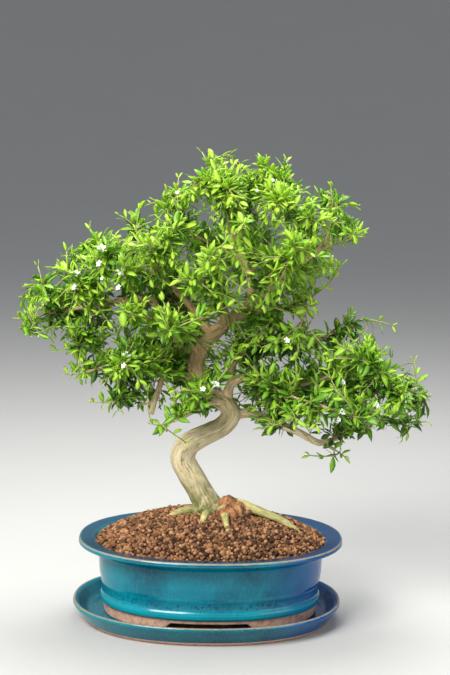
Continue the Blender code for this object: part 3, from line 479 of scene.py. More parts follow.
class Graph:
    """Adds shader nodes to one node tree. Each input is a value, or a socket to link."""

    def __init__(self, tree):
        self.tree = tree

    def add(self, kind, settings=None, **inputs):
        """Makes a node, sets its settings and fills its inputs."""
        made = self.tree.nodes.new(kind)
        for key, value in (settings or {}).items():
            setattr(made, key, value)
        for key, value in inputs.items():
            self.feed(made.inputs[key.replace("_", " ")], value)
        return made

    def feed(self, socket, value):
        """Links a socket, or sets a value on it."""
        if isinstance(value, bpy.types.NodeSocket):
            self.tree.links.new(value, socket)
        elif socket.type == "RGBA" and len(value) == 3:
            socket.default_value = (*value, 1.0)
        else:
            socket.default_value = value

    def coords(self, scale=(1, 1, 1), key=None):
        """Object coordinates, or a vector attribute, stretched by scale."""
        if key:
            source = self.add("ShaderNodeAttribute", {"attribute_name": key}).outputs["Vector"]
        else:
            source = self.add("ShaderNodeTexCoord").outputs["Object"]
        return self.add("ShaderNodeMapping", None, Vector=source, Scale=scale).outputs["Vector"]

    def value(self, key):
        """A number stored on the points."""
        return self.add("ShaderNodeAttribute", {"attribute_name": key}).outputs["Fac"]

    def noise(self, vector, scale, detail=3.0, rough=0.55):
        """Cloudy noise from 0 to 1."""
        made = self.add(
            "ShaderNodeTexNoise", None, Vector=vector, Scale=scale, Detail=detail, Roughness=rough
        )
        return made.outputs["Fac"]

    def cells(self, vector, scale):
        """Distance to the nearest of many scattered points."""
        made = self.add("ShaderNodeTexVoronoi", {"feature": "F1"}, Vector=vector, Scale=scale)
        return made.outputs["Distance"]

    def math(self, operation, first, second=0.5):
        """One sum on two values."""
        made = self.add("ShaderNodeMath", {"operation": operation})
        self.feed(made.inputs[0], first)
        self.feed(made.inputs[1], second)
        return made.outputs[0]

    def spread(self, value, low, high, to_low=0.0, to_high=1.0):
        """Maps low to to_low and high to to_high, held at both ends."""
        made = self.add("ShaderNodeMapRange", None, Value=value, From_Min=low, From_Max=high, To_Min=to_low,
                        To_Max=to_high)
        return made.outputs["Result"]

    def mix(self, factor, first, second, blend="MIX"):
        """Blends two colours."""
        made = self.add("ShaderNodeMix", {"data_type": "RGBA", "blend_type": blend})
        for number, value in ((0, factor), (6, first), (7, second)):
            self.feed(made.inputs[number], value)
        return made.outputs[2]

    def axis(self, number):
        """The x, y or z of the object coordinates."""
        return self.add("ShaderNodeSeparateXYZ", None, Vector=self.coords()).outputs[number]

    def bump(self, height, strength, distance=0.001):
        """A normal that follows a height."""
        made = self.add("ShaderNodeBump", None, Height=height, Strength=strength, Distance=distance)
        return made.outputs["Normal"]

    def group(self, made, **inputs):
        """Uses a node group."""
        return self.add("ShaderNodeGroup", {"node_tree": made}, **inputs)


def new_group(name, inputs, outputs):
    """A node group with named sockets. Returns the graph, its input sockets and a function that sets its
    outputs."""
    tree = bpy.data.node_groups.new(name, "ShaderNodeTree")
    for key, kind, value in inputs:
        made = tree.interface.new_socket(key, in_out="INPUT", socket_type=f"NodeSocket{kind}")
        if value is not None:
            made.default_value = value
    for key, kind in outputs:
        tree.interface.new_socket(key, in_out="OUTPUT", socket_type=f"NodeSocket{kind}")
    graph = Graph(tree)
    entry, leave = tree.nodes.new("NodeGroupInput"), tree.nodes.new("NodeGroupOutput")

    def put(**values):
        for key, value in values.items():
            graph.feed(leave.inputs[key.replace("_", " ")], value)

    return graph, entry.outputs, put


def mottle_group():
    """Two scales of cloudy noise that blend three colours, with the same noise as a height."""
    name = "Mottle"
    if name in bpy.data.node_groups:
        return bpy.data.node_groups[name]
    grey = (0.5, 0.5, 0.5, 1)
    graph, given, put = new_group(
        name,
        [
            ("Vector", "Vector", None), ("Size", "Float", 100.0), ("Dark", "Color", grey),
            ("Middle", "Color", grey), ("Light", "Color", grey)
        ],
        [("Color", "Color"), ("Height", "Float")]
    )
    broad = graph.noise(given["Vector"], given["Size"], 3.0)
    fine = graph.noise(given["Vector"], graph.math("MULTIPLY", given["Size"], 4.7), 4.0, 0.65)
    low = graph.mix(graph.spread(broad, 0.35, 0.55), given["Dark"], given["Middle"])
    colour = graph.mix(graph.spread(fine, 0.48, 0.7), low, given["Light"])
    put(
        Color=colour,
        Height=graph.math("ADD", graph.math("MULTIPLY", broad, 0.5), graph.math("MULTIPLY", fine, 0.5))
    )
    return graph.tree


def glaze_group():
    """Runny glaze: two blues in clouds, fine vertical streaks, and pale specks that gather where the
    pool-and-shade mark is high. That mark darkens towards Deep: pooled glaze, and painted shade under the
    pot's rim.
    """
    name = "Runny glaze"
    if name in bpy.data.node_groups:
        return bpy.data.node_groups[name]
    blue = (0.02, 0.2, 0.3, 1)
    graph, given, put = new_group(
        name,
        [
            ("Base", "Color", blue), ("Deep", "Color", blue), ("Speck", "Color", blue),
            ("Pool", "Float", 0.0), ("Drops", "Float", 0.0)
        ],
        [("Color", "Color"), ("Height", "Float")]
    )
    clouds = graph.noise(graph.coords((1, 1, 0.6)), 22.0, 3.0)
    streaks = graph.noise(graph.coords((1, 1, 0.4)), 480.0, 4.0, 0.7)
    body = graph.mix(graph.spread(clouds, 0.45, 0.7, 0, 0.75), given["Base"], given["Deep"])
    body = graph.mix(graph.spread(streaks, 0.5, 0.78, 0, 0.45), body, given["Speck"])
    drops = graph.cells(graph.coords(), 330.0)
    dots = graph.math(
        "MULTIPLY", graph.spread(drops, 0.3, 0.12), graph.spread(given["Pool"], 0.1, 0.9, 0.1, 0.5)
    )
    runs = graph.spread(graph.cells(graph.coords((1, 1, 0.8)), 270.0), 0.46, 0.3, 0.3, 1.0)
    runs = graph.math("MAXIMUM", runs, graph.math("SUBTRACT", 1.0, given["Drops"]))
    # Pooled glaze and painted shade: darkens towards Deep where the pool-and-shade mark is high.
    pooled_and_shaded = graph.mix(
        graph.math("MULTIPLY", graph.math("MULTIPLY", given["Pool"], runs), 0.8), body, given["Deep"]
    )
    put(
        Color=graph.mix(dots, pooled_and_shaded, given["Speck"]),
        Height=graph.math(
            "ADD", graph.math("MULTIPLY", clouds, 0.6), graph.math("MULTIPLY", streaks, 0.12)
        )
    )
    return graph.tree


def new_material(name):
    """A material with an empty graph, its Principled shader and its output."""
    made = bpy.data.materials.new(name)
    made.use_nodes = True
    made.node_tree.nodes.clear()
    graph = Graph(made.node_tree)
    shader = graph.add("ShaderNodeBsdfPrincipled")
    out = graph.add("ShaderNodeOutputMaterial", None, Surface=shader.outputs["BSDF"])
    return made, graph, shader, out


def glaze_material(name, base, deep, speck, edge_colour, side_colour, drops):
    """Glossy glaze that turns brown at edges, and bare clay where the clay mark is high. The pool-and-shade
    mark darkens it towards the deep glaze, as pooled glaze and as painted shade under the pot's rim; below
    the rim this breaks up into drops by the share drops."""
    made, graph, shader, _ = new_material(name)
    # The pool-and-shade mark: pooled glaze, and painted shade under the pot's rim.
    pool, edge, clay = (graph.value(key) for key in ("pool", "edge", "clay"))
    low = graph.spread(graph.axis(2), 0.08, 0.074, 0.0, drops)
    flow = graph.group(glaze_group(), Base=base, Deep=deep, Speck=speck, Pool=pool, Drops=low)
    colour = flow.outputs["Color"]
    wander = graph.noise(graph.coords((1, 1, 0.4)), 14.0, 2.0)
    place = graph.math("ADD", graph.axis(0), graph.math("MULTIPLY", wander, 0.06))
    colour = graph.mix(graph.spread(place, 0.085, 0.135, 0, 0.75), colour, side_colour)
    colour = graph.mix(graph.spread(place, 0.0, -0.1, 0, 0.3), colour, speck)
    colour = graph.mix(graph.spread(graph.axis(2), 0.034, 0.025, 0, 0.4 * drops), colour, speck)
    # Where the pool-and-shade mark is high on the rim's top, the deep glaze is laid on more strongly.
    colour = graph.mix(
        graph.math("MULTIPLY", pool, graph.spread(graph.axis(2), 0.079, 0.081, 0, 0.85)), colour, deep
    )
    ragged = graph.math("ADD", edge, graph.math("MULTIPLY", graph.noise(graph.coords(), 190.0), 0.35))
    colour = graph.mix(graph.spread(ragged, 0.95, 1.15), colour, edge_colour)
    clay_mix = graph.group(mottle_group(), Vector=graph.coords(), Size=160.0, Dark=(0.4, 0.21, 0.14),
                           Middle=(0.62, 0.36, 0.25), Light=(0.7, 0.47, 0.35))
    bare = graph.spread(
        graph.math("ADD", clay, graph.math("MULTIPLY", graph.noise(graph.coords(), 90.0), 0.08)), 0.5,
        0.56
    )
    graph.feed(shader.inputs["Base Color"], graph.mix(bare, colour, clay_mix.outputs["Color"]))
    graph.feed(shader.inputs["Roughness"], graph.spread(bare, 0, 1, 0.14, 0.75))
    shader.inputs["Specular IOR Level"].default_value = 0.38
    height = graph.math("ADD", graph.math("MULTIPLY", flow.outputs["Height"], 0.7), graph.math(
        "MULTIPLY", clay_mix.outputs["Height"], graph.spread(bare, 0, 1, 0.0, 0.6)))
    graph.feed(shader.inputs["Normal"], graph.bump(height, 0.35, 0.0006))
    return made


def soil_material(name, colours):
    """Crumbly baked clay: each grain's own tone, painted shade in the hollows of its bump, and a powdery
    surface.
    """
    dark, middle, bright = colours
    made, graph, shader, _ = new_material(name)
    tone = graph.value("tone")
    body = graph.mix(graph.spread(tone, 0.1, 0.6), dark, middle)
    body = graph.mix(graph.spread(tone, 0.72, 0.98), body, bright)
    # The crumb's colour runs dark where its height is low: painted shade in the hollows.
    crumb_and_shade = graph.group(
        mottle_group(), Vector=graph.coords(), Size=420.0, Dark=(0.55, 0.5, 0.48),
        Middle=(0.9, 0.88, 0.85), Light=(1.25, 1.15, 1.05)
    )
    graph.feed(shader.inputs["Base Color"], graph.mix(0.8, body, crumb_and_shade.outputs["Color"], "MULTIPLY"))
    shader.inputs["Roughness"].default_value = 0.92
    shader.inputs["Specular IOR Level"].default_value = 0.25
    graph.feed(shader.inputs["Normal"], graph.bump(crumb_and_shade.outputs["Height"], 0.7, 0.0012))
    return made


def bark_material(name, colours):
    """Bark on straightened coordinates: long fibres, dark pits, moss and lime near the soil, and red
    stump wood."""
    pale, fibre, upper, moss, stump, root = colours
    made, graph, shader, _ = new_material(name)
    fibres = graph.noise(graph.coords((1, 1, 0.11), "straight"), 620.0, 4.0, 0.65)
    broad = graph.noise(graph.coords((1, 1, 0.3), "straight"), 95.0, 3.0)
    pits = graph.cells(graph.coords((1, 1, 0.45), "straight"), 260.0)
    height = graph.axis(2)
    body = graph.mix(graph.spread(height, 0.19, 0.26), pale, upper)
    body = graph.mix(graph.value("root"), body, root)
    body = graph.mix(graph.spread(broad, 0.46, 0.66, 0, 0.4), body, fibre)
    body = graph.mix(graph.spread(fibres, 0.52, 0.66, 0, 0.8), body, fibre)
    body = graph.mix(graph.spread(fibres, 0.44, 0.3, 0, 0.6), body, graph.mix(0.5, body, (0.8, 0.75, 0.55)))
    lime = graph.noise(graph.coords(), 70.0, 4.0, 0.7)
    low = graph.spread(height, 0.15, 0.112)
    body = graph.mix(
        graph.math("MULTIPLY", graph.spread(lime, 0.56, 0.68), graph.spread(low, 0, 1, 0.25, 0.9)), body,
        (0.6, 0.6, 0.5)
    )
    green = graph.noise(graph.coords((1, 1, 0.6)), 85.0, 4.0, 0.65)
    growth = graph.math(
        "MULTIPLY", graph.spread(low, 0, 1, 0.05, 0.95), graph.spread(graph.value("root"), 0, 1, 1, 0.45)
    )
    body = graph.mix(graph.math("MULTIPLY", graph.spread(green, 0.38, 0.52), growth), body, moss)
    cracks = graph.noise(graph.coords((1, 1, 0.35)), 150.0, 5.0, 0.75)
    chunk = graph.mix(graph.spread(cracks, 0.42, 0.52), (0.05, 0.022, 0.01), stump)
    chunk = graph.mix(graph.spread(cracks, 0.56, 0.68, 0, 0.8), chunk, (0.62, 0.38, 0.16))
    body = graph.mix(graph.value("stump"), body, chunk)
    body = graph.mix(graph.spread(pits, 0.16, 0.05, 0, 0.7), body, (0.06, 0.045, 0.03))
    graph.feed(shader.inputs["Base Color"], body)
    graph.feed(shader.inputs["Roughness"], graph.spread(fibres, 0.3, 0.7, 0.62, 0.85))
    relief = graph.math(
        "SUBTRACT", graph.math("MULTIPLY", fibres, 0.7), graph.spread(pits, 0.2, 0.05, 0, 0.3)
    )
    graph.feed(shader.inputs["Normal"], graph.bump(relief, 0.8, 0.0012))
    return made


def leaf_material(name, young, mature, old):
    """A folded leaf: lime when young or high in the crown, and deep glossy green when old or in painted
    shade inside and low in the crown, with a pale midrib and faint side veins."""
    made, graph, shader, out = new_material(name)
    age, across, along, stem = (graph.value(key) for key in ("age", "across", "along", "stem"))
    body = graph.mix(graph.spread(age, 0.0, 0.5), young, mature)
    body = graph.mix(graph.spread(age, 0.5, 1.0), body, old)
    patch = graph.noise(graph.coords(), 150.0, 3.0)
    body = graph.mix(graph.spread(patch, 0.4, 0.75, 0, 0.35), body, young)
    rib = graph.spread(graph.math("ABSOLUTE", across, 0.0), 0.16, 0.03)
    slant = graph.math("ADD", graph.math("MULTIPLY", along, 34.0), graph.math(
        "MULTIPLY", graph.math("ABSOLUTE", across, 0.0), -9.0))
    veins = graph.spread(graph.math("SINE", slant, 0.0), 0.72, 1.0, 0, 0.3)
    body = graph.mix(graph.math("MAXIMUM", graph.math("MULTIPLY", rib, 0.6), veins), body, (0.32, 0.5, 0.1))
    body = graph.mix(graph.spread(stem, 0.4, 0.6), body, graph.mix(
        graph.spread(graph.value("green"), 0.0, 1.0), (0.58, 0.44, 0.25), (0.42, 0.5, 0.12)))
    graph.feed(shader.inputs["Base Color"], body)
    graph.feed(shader.inputs["Roughness"], graph.spread(patch, 0.3, 0.7, 0.3, 0.46))
    shader.inputs["Specular IOR Level"].default_value = 0.6
    relief = graph.math("ADD", graph.math("MULTIPLY", rib, -0.4), graph.math("MULTIPLY", veins, -0.6))
    graph.feed(shader.inputs["Normal"], graph.bump(relief, 0.5, 0.0005))
    glow = graph.add("ShaderNodeBsdfTranslucent", None, Color=graph.mix(0.5, body, (0.45, 0.75, 0.05)))
    both = graph.add("ShaderNodeMixShader", None, Fac=0.36)
    graph.tree.links.new(shader.outputs["BSDF"], both.inputs[1])
    graph.tree.links.new(glow.outputs["BSDF"], both.inputs[2])
    graph.tree.links.new(both.outputs["Shader"], out.inputs["Surface"])
    return made


def petal_material(name, white):
    """A soft white petal, greenish down the tube and finely veined."""
    made, graph, shader, _ = new_material(name)
    reach = graph.value("along")
    veins = graph.noise(graph.coords((1, 1, 1), "straight"), 900.0, 2.0)
    body = graph.mix(graph.spread(reach, 0.05, 0.5), (0.5, 0.62, 0.28), white)
    body = graph.mix(graph.spread(veins, 0.5, 0.75, 0, 0.25), body, (0.78, 0.76, 0.8))
    graph.feed(shader.inputs["Base Color"], body)
    graph.feed(shader.inputs["Roughness"], graph.spread(veins, 0.3, 0.7, 0.5, 0.65))
    graph.feed(shader.inputs["Normal"], graph.bump(veins, 0.3, 0.0004))
    return made


def plain_material(name, dark, middle, light, size, rough, strength):
    """A mottled finish with a light bump, for mesh plates, moss and the floor."""
    made, graph, shader, _ = new_material(name)
    mixed = graph.group(
        mottle_group(), Vector=graph.coords(), Size=size, Dark=dark, Middle=middle, Light=light
    )
    graph.feed(shader.inputs["Base Color"], mixed.outputs["Color"])
    shader.inputs["Roughness"].default_value = rough
    graph.feed(shader.inputs["Normal"], graph.bump(mixed.outputs["Height"], strength, 0.0006))
    return made


# Extra burrs and bark chunks on the stump: x, y, height over the soil and radius.
BURRS = [
    (17, -11, 10, 8.5), (27, -12, 6, 7.0), (12, -17, 4, 6.0), (22, -18, 3, 6.0), (35, -13, 3, 4.5),
    (-14, -9, 1, 4.2)
]
BURR_TALL = 1.35


def wood_paths():
    """Every woody route with its radius, number of sides and flutes."""
    yield route(TRUNK, 130), 26, 0.07
    for points in LIMBS.values():
        yield route(points, 6 * len(points)), 10, 0.0
    for root in ROOTS:
        laid = [
            (x, y, soil_height(x, y) + rise + ROOT_LIFT, radius + ROOT_LIFT / 2)
            for x, y, rise, radius in root
        ]
        yield route(laid, 8 * len(laid)), 12, 0.0


def stump_points():
    """Rough lumps of the stump at the trunk's foot, stretched upwards."""
    draw = np.random.default_rng(SEED)
    knobs = LUMPS + BURRS
    spots = np.array([(x, y, soil_height(x, y) + rise) for x, y, rise, _ in knobs], float)
    points, triangles, each = lumps_at(draw, spots, np.array([radius for *_, radius in knobs], float), 0.2)
    middle = np.repeat(spots[:, 2], each)
    points[:, 2] = middle + (points[:, 2] - middle) * BURR_TALL
    return points, np.empty((0, 4), int), triangles


def remeshed(name, points, quads, triangles, voxel):
    """Joins overlapping closed shapes into one skin of even quads."""
    rough = new_piece(name, points, quads, triangles)
    change = rough.modifiers.new("Skin", "REMESH")
    change.mode = "VOXEL"
    change.voxel_size = voxel
    bpy.context.view_layer.update()
    mesh = bpy.data.meshes.new_from_object(rough.evaluated_get(bpy.context.evaluated_depsgraph_get()))
    bpy.data.objects.remove(rough, do_unlink=True)
    count, corners = len(mesh.vertices), len(mesh.loops)
    flat, numbers = np.empty(count * 3, np.float32), np.empty(corners, np.int32)
    mesh.vertices.foreach_get("co", flat)
    mesh.loops.foreach_get("vertex_index", numbers)
    normals = np.empty(count * 3, np.float32)
    mesh.vertices.foreach_get("normal", normals)
    bpy.data.meshes.remove(mesh)
    return flat.reshape(-1, 3) / MM, numbers.reshape(-1, 4), normals.reshape(-1, 3)


def straighten(points, samples):
    """Each point as sideways, over and along distances from the nearest place on the wood's routes."""
    centre, radius, side, over, length = samples
    out = np.empty((len(points), 3))
    thick = np.empty(len(points))
    for start in range(0, len(points), 4000):
        some = points[start:start + 4000]
        gap = np.linalg.norm(some[:, None] - centre[None], axis=2) - radius[None]
        near = gap.argmin(axis=1)
        away = some - centre[near]
        out[start:start + 4000] = np.column_stack(
            [(away * side[near]).sum(1), (away * over[near]).sum(1), length[near]]
        )
        thick[start:start + 4000] = radius[near]
    return out, thick


def path_samples(paths):
    """Centres, radii, directions and lengths of every route, joined end to end for straighten."""
    centres, radii, sides, overs, lengths, shift = [], [], [], [], [], 0.0
    for path in paths:
        _, side, over = path_frames(path)
        run = np.concatenate([[0], np.cumsum(np.linalg.norm(np.diff(path[:, :3], axis=0), axis=1))])
        centres.append(path[:, :3])
        radii.append(path[:, 3])
        sides.append(side)
        overs.append(over)
        lengths.append(run + shift)
        shift += 700
    return tuple(np.concatenate(group) for group in (centres, radii, sides, overs, lengths))


def quadratic(first, middle, last, t):
    """Points and directions on many three-point Bezier curves at once."""
    t = t[..., None]
    first, middle, last = first[:, None], middle[:, None], last[:, None]
    points = (1 - t) ** 2 * first + 2 * t * (1 - t) * middle + t**2 * last
    slopes = 2 * (1 - t) * (middle - first) + 2 * t * (last - middle)
    return points, unit(slopes)


def limb_table(limb):
    """The route of the trunk or of a named limb."""
    return TRUNK if limb == "trunk" else LIMBS[limb]


def twig_curve(limb, place, tip):
    """The three points of a spray's curve, with the limb's radius: forwards off the limb, sagging, then
    turning up."""
    path = route(limb_table(limb), 60)
    at = min(int(place * 59), 58)
    start, forward = path[at, :3], unit(path[at + 1, :3] - path[at, :3])
    if place == 1.0:
        start = path[-1, :3] - forward * 3
    tip = np.asarray(tip, float)
    reach = np.linalg.norm(tip - start)
    middle = (start + tip) / 2 + forward * reach * 0.2 - np.array((0, 0, 0.1)) * reach
    return start, middle, tip, path[at, 3]


def stem_tubes(curves, radii, rings=8, sides=5):
    """Slim closed tubes on many curves at once, each in its curve's own plane."""
    first, middle, last = curves
    t = np.broadcast_to(np.linspace(0, 1, rings), (len(first), rings))
    points, along = quadratic(first, middle, last, t)
    plane = np.cross(middle - first, last - middle)
    flat = np.linalg.norm(plane, axis=1) < 1e-6
    plane[flat] = np.cross(last[flat] - first[flat], (0.2, 0.9, 0.1))
    side = np.broadcast_to(unit(plane)[:, None], points.shape)
    over = np.cross(along, side)
    angle = circle(sides)
    size = (radii[:, :1] + (radii[:, 1:] - radii[:, :1]) * t)[..., None, None]
    skin = points[:, :, None] + size * (
        np.cos(angle)[:, None] * side[:, :, None] + np.sin(angle)[:, None] * over[:, :, None]
    )
    count = len(first)
    quads = grid_quads(rings, sides)[None] + (np.arange(count) * rings * sides)[:, None, None]
    loops = (np.arange(count) * rings * sides)[:, None]
    step = np.arange(1, sides - 1)
    starts = np.stack([np.zeros(len(step), int), step + 1, step], -1)
    ends = np.stack([np.zeros(len(step), int), step, step + 1], -1) + (rings - 1) * sides
    caps = np.vstack([starts, ends])[None] + loops[..., None]
    return skin.reshape(-1, 3), quads.reshape(-1, 4), caps.reshape(-1, 3), np.repeat(
        t[..., None], sides, 2
    ).ravel()


STATIONS = np.array([0.0, 0.24, 0.5, 0.77])
WIDTHS = np.array([0.14, 0.72, 1.0, 0.66])


def blades(base, along, across, length, width, fold, droop, thick=0.34):
    """Folded leaves, many at once: at station s the middle is base + s L along - droop s^2 L above, and
    the two edges stand width(s) to the sides, lifted by the fold. Each leaf has four four-cornered rings
    and a tip."""
    above = np.cross(along, across)
    s = STATIONS[None, :, None]
    size = length[:, None, None]
    middle = base[:, None] + along[:, None] * size * s - above[:, None] * droop[:, None, None] * size * s**2
    half = (width[:, None] * WIDTHS / 2)[..., None]
    lift = above[:, None] * fold[:, None, None] * half
    deep = above[:, None] * thick / 2
    rings = np.stack([middle - deep, middle + across[:, None] * half + lift, middle + deep,
                      middle - across[:, None] * half + lift], 2)
    tip = base + along * length[:, None] - above * (droop * length)[:, None]
    points = np.concatenate([rings.reshape(len(base), -1, 3), tip[:, None]], 1)
    per = points.shape[1]
    quads = np.vstack([grid_quads(len(STATIONS), 4), [[3, 2, 1, 0]]])
    last = (len(STATIONS) - 1) * 4
    fans = np.array([[last + k, last + (k + 1) % 4, per - 1] for k in range(4)])
    shift = (np.arange(len(base)) * per)[:, None, None]
    across_mark = np.tile(np.append(np.tile([0.0, 1.0, 0.0, -1.0], len(STATIONS)), 0.0), len(base))
    along_mark = np.tile(np.append(np.repeat(STATIONS, 4), 1.0), len(base))
    return (
        points.reshape(-1, 3), (quads[None] + shift).reshape(-1, 4), (fans[None] + shift).reshape(-1, 3),
        across_mark, along_mark, per
    )


def crown_depth(points):
    """How deep each point is in the crown's masses: 0 at their surface and 1 at a mass's middle, more on
    its underside."""
    depth = np.zeros(len(points))
    for x, y, z, wide, deep, tall in PADS:
        local = (points - (x, y, z)) / (wide, deep, tall)
        depth = np.maximum(depth, 1 - np.linalg.norm(local, axis=1) - 0.35 * local[:, 2])
    return np.clip(depth, 0, 1)


def seen(points):
    """x and z where the line from the photograph's camera through each point meets the plane y = 0."""
    ratio = -EYE[1] / (points[:, 1] - EYE[1])
    return np.column_stack(
        [EYE[0] + (points[:, 0] - EYE[0]) * ratio, EYE[2] + (points[:, 2] - EYE[2]) * ratio]
    )


def in_outline(flat):
    """Whether each x, z lies inside the crown's outline: an odd number of its sides is crossed on the way
    out."""
    corner = np.array(OUTLINE, float)
    after = np.roll(corner, -1, axis=0)
    x, z = flat[:, :1], flat[:, 1:]
    spans = (corner[:, 1] > z) != (after[:, 1] > z)
    rise = np.where(after[:, 1] == corner[:, 1], 1.0, after[:, 1] - corner[:, 1])
    meets = corner[:, 0] + (z - corner[:, 1]) / rise * (after[:, 0] - corner[:, 0])
    return (spans & (x < meets)).sum(1) % 2 == 1


def hides_wood(points):
    """Whether a point is in front of the wood that stays in sight."""
    flat = seen(points)
    x, z, radius = np.array(BARE_WOOD, float).T
    near = (np.hypot(flat[:, :1] - x, flat[:, 1:] - z) < radius).any(1)
    return near & (points[:, 1] < 8)


def crown_goals(draw, count):
    """Ends for the small shoots: even over the outline, then in or out along the line of sight by a share
    of the depth of the crown's masses there. They're denser near the front and back than in the middle.
    The second result is how far inside each one is: 0 at the front or back, and 1 in the middle."""
    low, high = np.min(OUTLINE, axis=0), np.max(OUTLINE, axis=0)
    flat = draw.uniform(low, high, (count * 4, 2))
    margin = [in_outline(flat + shift) for shift in ((5, 5), (5, -5), (-5, 5), (-5, -5))]
    flat = flat[np.all(margin, axis=0)][:count]
    depth = np.full(len(flat), 12.0)
    for x, _, z, wide, deep, tall in PADS:
        room = 1 - ((flat[:, 0] - x) / wide) ** 2 - ((flat[:, 1] - z) / tall) ** 2
        depth = np.maximum(depth, deep * np.sqrt(np.clip(room, 0, 1)))
    share = draw.uniform(-1, 1, len(flat))
    out = np.abs(share) ** 0.6
    y = depth * np.sign(share) * out
    plane = np.column_stack([flat[:, 0], np.zeros(len(flat)), flat[:, 1]])
    return plane + (plane - np.array(EYE)) * (y / -EYE[1])[:, None], 1 - out


def cylinder(x, radius, low, high, around=48):
    """A closed upright cylinder."""
    angle = circle(around)
    ring = np.column_stack([x + radius * np.cos(angle), radius * np.sin(angle)])
    points = np.vstack(
        [*(np.column_stack([ring, np.full(around, z)]) for z in (low, high)), (x, 0, low), (x, 0, high)]
    )
    return points, grid_quads(2, around), end_fans(2, around)


def drilled(piece, cutters):
    """Cuts closed shapes out of a piece, keeping its attributes."""
    points, quads, triangles = joined(cutters)
    tool = new_piece("drill", points, quads, triangles)
    change = piece.modifiers.new("Drain holes", "BOOLEAN")
    change.operation, change.object, change.solver = "DIFFERENCE", tool, "MANIFOLD"
    bpy.context.view_layer.update()
    cut = bpy.data.meshes.new_from_object(piece.evaluated_get(bpy.context.evaluated_depsgraph_get()))
    old = piece.data
    piece.modifiers.clear()
    piece.data = cut
    bpy.data.meshes.remove(old)
    bpy.data.objects.remove(tool, do_unlink=True)
    cut.name = piece.name


# Profile rows: half width, height, clay, edge, pool-and-shade and scale. On the saucer the pool-and-shade
# column darkens the lower outer side and the inside.
SAUCER_ROWS = [
    (118, 0, 1, 0, 0, 1), (121.5, 2.5, 0.9, 0.2, 0, 1), (123.5, 5.4, 0, 0.1, 0.7, 1),
    (127, 10.5, 0, 0, 0.1, 1), (130.5, 15.5, 0, 0, 0.3, 1), (132.3, 18, 0, 0, 0, 1),
    (131.8, 19.6, 0, 0.8, 0, 1), (131.2, 20.6, 0, 1, 0, 1), (129.4, 20.8, 0, 0.9, 0.3, 1),
    (127, 19.5, 0, 0, 1, 1), (126, 18.5, 0, 0, 1, 1), (120, 10, 0, 0, 1, 1), (117, 8, 0, 0, 1, 1),
    (97, 8, 0, 0, 1, 1), (95, 8, 1, 0, 1, 1),
]
# In the pot's rows the pool-and-shade column is pooled glaze in the groove, where it breaks into drops, and
# painted shade under the rim at heights 67 to 76.4; it is also high on the rim's top and side and on the
# inner wall.
POT_ROWS = [
    (96.5, 17, 1, 0, 0, 1), (96, 8.3, 1, 0, 0, 1), (104.5, 8.3, 1, 0, 0, 1), (106, 19, 1, 0, 0, 1),
    (107.4, 20.2, 0.4, 0.6, 0, 1), (108.6, 21.5, 0, 0.7, 0, 1), (108.6, 26.5, 0, 0.5, 0.1, 1),
    (106.6, 29, 0, 0, 1, 1), (107, 35, 0, 0, 1, 1), (107.5, 38, 0, 0, 0.25, 1), (109.6, 50, 0, 0, 0, 1),
    (110.4, 67, 0, 0, 0.2, 1), (111.6, 70.2, 0, 0, 0.4, 1), (114.6, 73, 0, 0, 0.5, 1),
    (119.5, 75, 0, 0, 0.5, 1), (126, 76.4, 0, 0, 0.6, 1), (129.7, 78.3, 0, 0.75, 0.2, 1),
    (129.9, 79.4, 0, 0.1, 0.5, 1), (129.7, 80.8, 0, 0.7, 0.2, 1), (129.3, 81.8, 0, 1, 0, 1),
    (128.4, 82.6, 0, 1, 0, 1), (127, 82.7, 0, 0.2, 0.8, 1), (116.5, 81.7, 0, 0.1, 0.9, 1),
    (115, 81.4, 0, 0.8, 0.2, 1), (108.5, 74, 0, 0.5, 0.4, 1), (103, 25, 1, 0, 0, 1), (99, 22, 1, 0, 0, 1),
]
SOIL_ROWS = [(98.5, 22.3), (102.5, 25.2), (108.2, 74)]


def colour_property(name, description, value):
    """A colour setting."""
    return FloatVectorProperty(
        name=name, description=description, default=value, subtype="COLOR", size=3, min=0, max=1
    )


def length_property(name, description, value):
    """A length setting, given in millimetres."""
    return FloatProperty(
        name=name, description=description, default=value * MM, unit="LENGTH", subtype="DISTANCE"
    )


class PotSettings(bpy.types.PropertyGroup):
    around: IntProperty(
        name="Sides", description="Points round each oval ring", default=230, subtype="UNSIGNED"
    )
    wobble: length_property("Wobble", "Unevenness of the hand-made wall", 0.5)
    base: colour_property("Glaze", "Main blue of the pot", (0.0, 0.175, 0.25))
    # The deep colour is also laid on as painted shade under the pot's rim, through the pool-and-shade mark.
    deep: colour_property("Deep glaze", "Where the glaze pools and on the rim", (0.0, 0.03, 0.08))
    speck: colour_property("Specks", "Pale streaks and drops", (0.012, 0.36, 0.42))
    side: colour_property("Cobalt side", "The pot's right-hand side", (0.0, 0.06, 0.26))
    edge: colour_property("Edges", "Tan where the glaze runs thin", (0.3, 0.25, 0.17))
    dish: colour_property("Saucer glaze", "Main colour of the saucer", (0.003, 0.12, 0.16))


class SoilSettings(bpy.types.PropertyGroup):
    spacing: length_property("Spacing", "Distance between grains", 3.15)
    grain: length_property("Grain", "Mean radius of a grain", 1.75)
    dark: colour_property("Dark", "Darkest grains", (0.06, 0.03, 0.018))
    middle: colour_property("Middle", "Most grains", (0.31, 0.15, 0.07))
    bright: colour_property("Bright", "Pale orange grains", (0.52, 0.28, 0.14))


